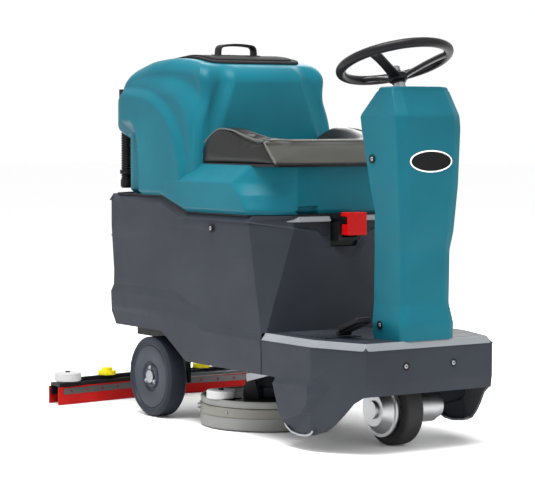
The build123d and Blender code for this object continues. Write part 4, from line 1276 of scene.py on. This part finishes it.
grip = circle(GRIP_R, 24) + (RIM_R, 0)
piece(
    "steering_wheel_grip",
    [turned(np.vstack([grip, grip[:1]])[::-1], WHEEL_CENTRE, WHEEL_AXIS, 128),
     turned(filleted(HUB_STEPS, 1.6, 4, closed=False), WHEEL_CENTRE, WHEEL_AXIS, 48),
     *[wheel_spoke(angle) for angle in (60, 180, 300)]],
    black_plastic, "steering_wheel", ["steering_wheel"], sharp_deg=50,
)
collar = [(0, -14), (9, -14), (11, -16), (11, -64), (17, -66), (17, -80), (0, -80)]
piece(
    "steering_shaft_collar",
    [turned(collar, WHEEL_CENTRE, WHEEL_AXIS, 40)],
    bright_steel, "steering_wheel", sharp_deg=30,
)


# ---------------------------------------------------------------- fasteners and badge

def fastener(centre, out):
    """A recess ring and, inside it, the domed head of a socket screw."""
    ring = [(7.2, -2.5), (7.2, 0.4), (11.5, 0.4), (12.4, -0.4), (12.4, -2.5), (7.2, -2.5)]
    head = [(0, -0.8), (2.4, -0.8), (2.6, 1.2), (4.6, 1.2), (6.4, 0.2), (7.0, -1.2), (7.0, -2.4),
            (0, -2.4)]
    return turned(ring, centre, out, 32), turned(head, centre, out, 24)


# Bumper, body side, column top and column foot.
screw_places = [((166.4, y, 245), (1, 0, 0)) for y in (-84, 84)]
for side in (-1, 1):
    for x, y, z in ((-534, 282.6, 605), (42, 114.2, 818), (60, 98.6, 352)):
        screw_places.append(((x, side * y, z), (0, side, 0)))
rings, heads = zip(*[fastener(centre, out) for centre, out in screw_places])
piece("screw_recess_rings", list(rings), black_plastic, "root", ["cover_screws"])
piece("screw_heads", list(heads), bright_steel, "root")

BADGE_HALF, BADGE_Z = np.array([74.0, 31.0]), 812.0
# Each row is an inset, a station and a share of the size, 1 where it isn't given.
RIM_ROWS = [(4.0, 163.0), (4.0, 167.4), (3.4, 168.0), (0.6, 168.0), (0, 167.4), (0, 163.0),
            (4.0, 163.0)]
FIELD_ROWS = [(4.4, 166.9, 0), (4.4, 166.9, 0.5), (4.4, 166.9), (4.2, 166.7), (4.2, 163.0),
              (4.2, 163.0, 0)]


def badge_row(inset_mm, x, share=1.0):
    """The badge's oval drawn in by inset_mm and then to a share of its size, at station x."""
    half_y, half_z = (BADGE_HALF - inset_mm) * share
    oval = np.linspace(0, 2 * math.pi, 73)
    oval[-1] = 0.0
    return np.column_stack(
        [np.full(73, x), half_y * np.cos(oval), BADGE_Z + half_z * np.sin(oval)]
    )


def badge_surface(rows):
    """The rows as one surface, from the inside of the plate outwards."""
    return np.stack([badge_row(*row) for row in rows])


piece("badge_rim", [badge_surface(RIM_ROWS)], badge_white, "root")
piece("badge_field", [badge_surface(FIELD_ROWS)], badge, "root", ["badge_plate"])


# ---------------------------------------------------------------- foot platform

PLATFORM_TOP, CHAMFER_FOOT, WIDER_FOOT = 312.0, 307.0, 293.5
PLATFORM_MIDDLE_X, TOP_SHARE_X, TOP_SHARE_Y = -50.0, 0.945, 0.955


def wider_chamfer(p):
    """Draws the top edge in and the chamfer's foot down, so that its slope is 24 mm wide."""
    x, y, z = p.T.copy()
    z = np.where(np.abs(z - CHAMFER_FOOT) < 0.5, WIDER_FOOT, z)
    rim_top = (np.abs(z - PLATFORM_TOP) < 0.4) & ((np.abs(y) > 195) | (x > 140))
    drawn_in = PLATFORM_MIDDLE_X + (x - PLATFORM_MIDDLE_X) * TOP_SHARE_X
    x = np.where(rim_top & (x > -250), drawn_in, x)
    y = np.where(rim_top, y * TOP_SHARE_Y, y)
    return np.stack([x, y, z], 1)


copied("foot_platform_moulding", "foot_platform", grey, "root", wider_chamfer, 1.6)


# ---------------------------------------------------------------- edge strips carrying painted highlights

def painted_highlight_strip(path, drop, back):
    """A strip, carrying a painted highlight, whose face leans back: it stands on the edge's foot
    and ends level with its top.
    """
    section = [(0.8, -drop), (0.8, -drop + 3), (-back, 1), (-back - 3, 1), (-back - 3, -drop)]
    return bar(path, filleted(section, 1.0, 2))


platform_path = filleted(
    [(-258, -282), (-17, -282), (167, -225), (167, 225), (-17, 282), (-258, 282)],
    [0, 22, 22, 22, 22, 0], 6, closed=False,
)
platform_path = np.column_stack([platform_path, np.full(len(platform_path), 312.2)])
# The body's painted highlight strip stops each side of the plug's pocket.
BODY_PATHS = (
    [(-348, -270, 646), (-262.4, -147, 646), (-262.4, -34, 646)],
    [(-262.4, 80, 646), (-262.4, 147, 646), (-348, 270, 646)],
)
# Pale strips on the platform's and body's chamfers: painted highlight where light from above falls.
piece("platform_edge_painted_highlight", [painted_highlight_strip(platform_path, 20, 13)], edge_painted_highlight, "root",
      sharp_deg=24)
piece("body_edge_painted_highlight", [painted_highlight_strip(path, 17, 9) for path in BODY_PATHS], edge_painted_highlight, "root",
      sharp_deg=24)
# Bright steel strips along each wheel guard's foot: a painted highlight on the guard's bottom
# flange, made as a part.
GUARD_FOOT = [(-148, 90), (-131, 62), (-104, 48), (-66, 43), (-30, 45), (-8, 52), (2, 62)]
STRIP_Y = 284.0
foot_x, foot_z = evened(filleted(GUARD_FOOT, 24, 5, closed=False), 6, closed=False).T
guard_highlights = [
    bar(
        np.column_stack([foot_x, np.full(len(foot_x), side * STRIP_Y), foot_z]),
        filleted(rectangle(3, 2.4), 1.0, 3),
        up=(0, 1, 0),
    )
    for side in (-1, 1)
]
piece("guard_foot_painted_highlight", guard_highlights, bright_steel, "root")


# ---------------------------------------------------------------- pedal

PEDAL_PIVOT, PEDAL_Y, PEDAL_RISE = (-34.0, 325.0), -152.0, math.radians(20)


def on_pedal(points):
    """place() for slab: x runs up the pedal from its pivot, y across it, heights off its arm."""
    x, y, height = points.T
    c, s = math.cos(PEDAL_RISE), math.sin(PEDAL_RISE)
    forward, upward = PEDAL_PIVOT[0] + x * c - height * s, PEDAL_PIVOT[1] + x * s + height * c
    return np.stack([forward, PEDAL_Y + y, upward], 1)


def pedal_block(x0, x1, half, low, high, edge):
    """A rounded block on the pedal, from x0 to x1 along it and half to each side."""
    corners = [(x0, -half), (x1, -half), (x1, half), (x0, half)]
    return slab(evened(filleted(corners, 7, 5), 8), low, high, edge, on_pedal)


treads = [pedal_block(20 + 14 * k, 27 + 14 * k, 21, 17, 20, 1.2) for k in range(6)]
piece(
    "pedal_pad_cover", [pedal_block(8, 104, 26, 1, 18, 5), *treads], black_rubber, "pedal",
    ["pedal_pad"],
)


# ---------------------------------------------------------------- battery plug

copied("plug_handle_moulding", "disconnect_handle", red_plastic, "battery_plug",
       lambda p: p + PLUG_SHIFT, 2.0)
copied("plug_socket_moulding", "disconnect_socket", black_plastic, "root",
       pocket_moved, 1.6)


# ---------------------------------------------------------------- stage, light and camera


def build_stage():
    """A pale floor: a broad disc, 80 m across, just under the wheels."""
    mesh = bpy.data.meshes.new("studio_floor")
    rim = circle(40.0, 64)
    mesh.from_pydata([(x, y, -0.0005) for x, y in rim], [], [list(range(len(rim)))])
    mesh.materials.append(new_material("studio_floor_paint", "#FDFDFD", 0.9)[0])
    floor = linked("studio_floor", mesh)


def area_light(name, place, target, size, power):
    """A soft square lamp at place, facing target: size is metres and power watts."""
    data = bpy.data.lights.new(name, "AREA")
    data.shape, data.size, data.energy = "SQUARE", size, power
    lamp = linked(name, data)
    lamp.location = place
    aim = np.array(target) - np.array(place)
    lamp.rotation_mode = "QUATERNION"
    lamp.rotation_quaternion = Vector(aim).to_track_quat("-Z", "Y")


CAMERA_AZIMUTH, CAMERA_ELEVATION = math.radians(56.0), math.radians(3.26)
CAMERA_PLACE = (5.408, -3.673, 0.922)
FOCAL_MM, SENSOR_MM = 142.79, 36.0

camera_data = bpy.data.cameras.new("camera")
camera_data.lens, camera_data.sensor_width = FOCAL_MM, SENSOR_MM
camera = linked("camera", camera_data)
right = np.array([math.cos(CAMERA_AZIMUTH), math.sin(CAMERA_AZIMUTH), 0])
level = math.cos(CAMERA_ELEVATION)
back = np.array([right[1] * level, -right[0] * level, math.sin(CAMERA_ELEVATION)])
turn = Matrix(np.column_stack([right, np.cross(back, right), back]).tolist()).to_4x4()
camera.matrix_world = Matrix.Translation(CAMERA_PLACE) @ turn
bpy.context.scene.camera = camera

build_stage()
MIDDLE = (-0.1, 0.0, 0.55)
area_light("key_above", (0.8, -1.0, 4.2), MIDDLE, 2.6, 300)
area_light("fill_front", (5.6, 1.6, 2.4), MIDDLE, 4.0, 45)
area_light("fill_right", (-2.6, -5.4, 2.2), MIDDLE, 4.0, 45)
area_light("rim_back", (-3.0, 3.0, 3.0), MIDDLE, 2.6, 90)
world = bpy.data.worlds.new("studio_air")
world.use_nodes = True
sky = world.node_tree.nodes["Background"].inputs
sky["Color"].default_value, sky["Strength"].default_value = linear("#FFFFFF"), 1.0
bpy.context.scene.world = world
bpy.context.scene.view_settings.view_transform = "Standard"
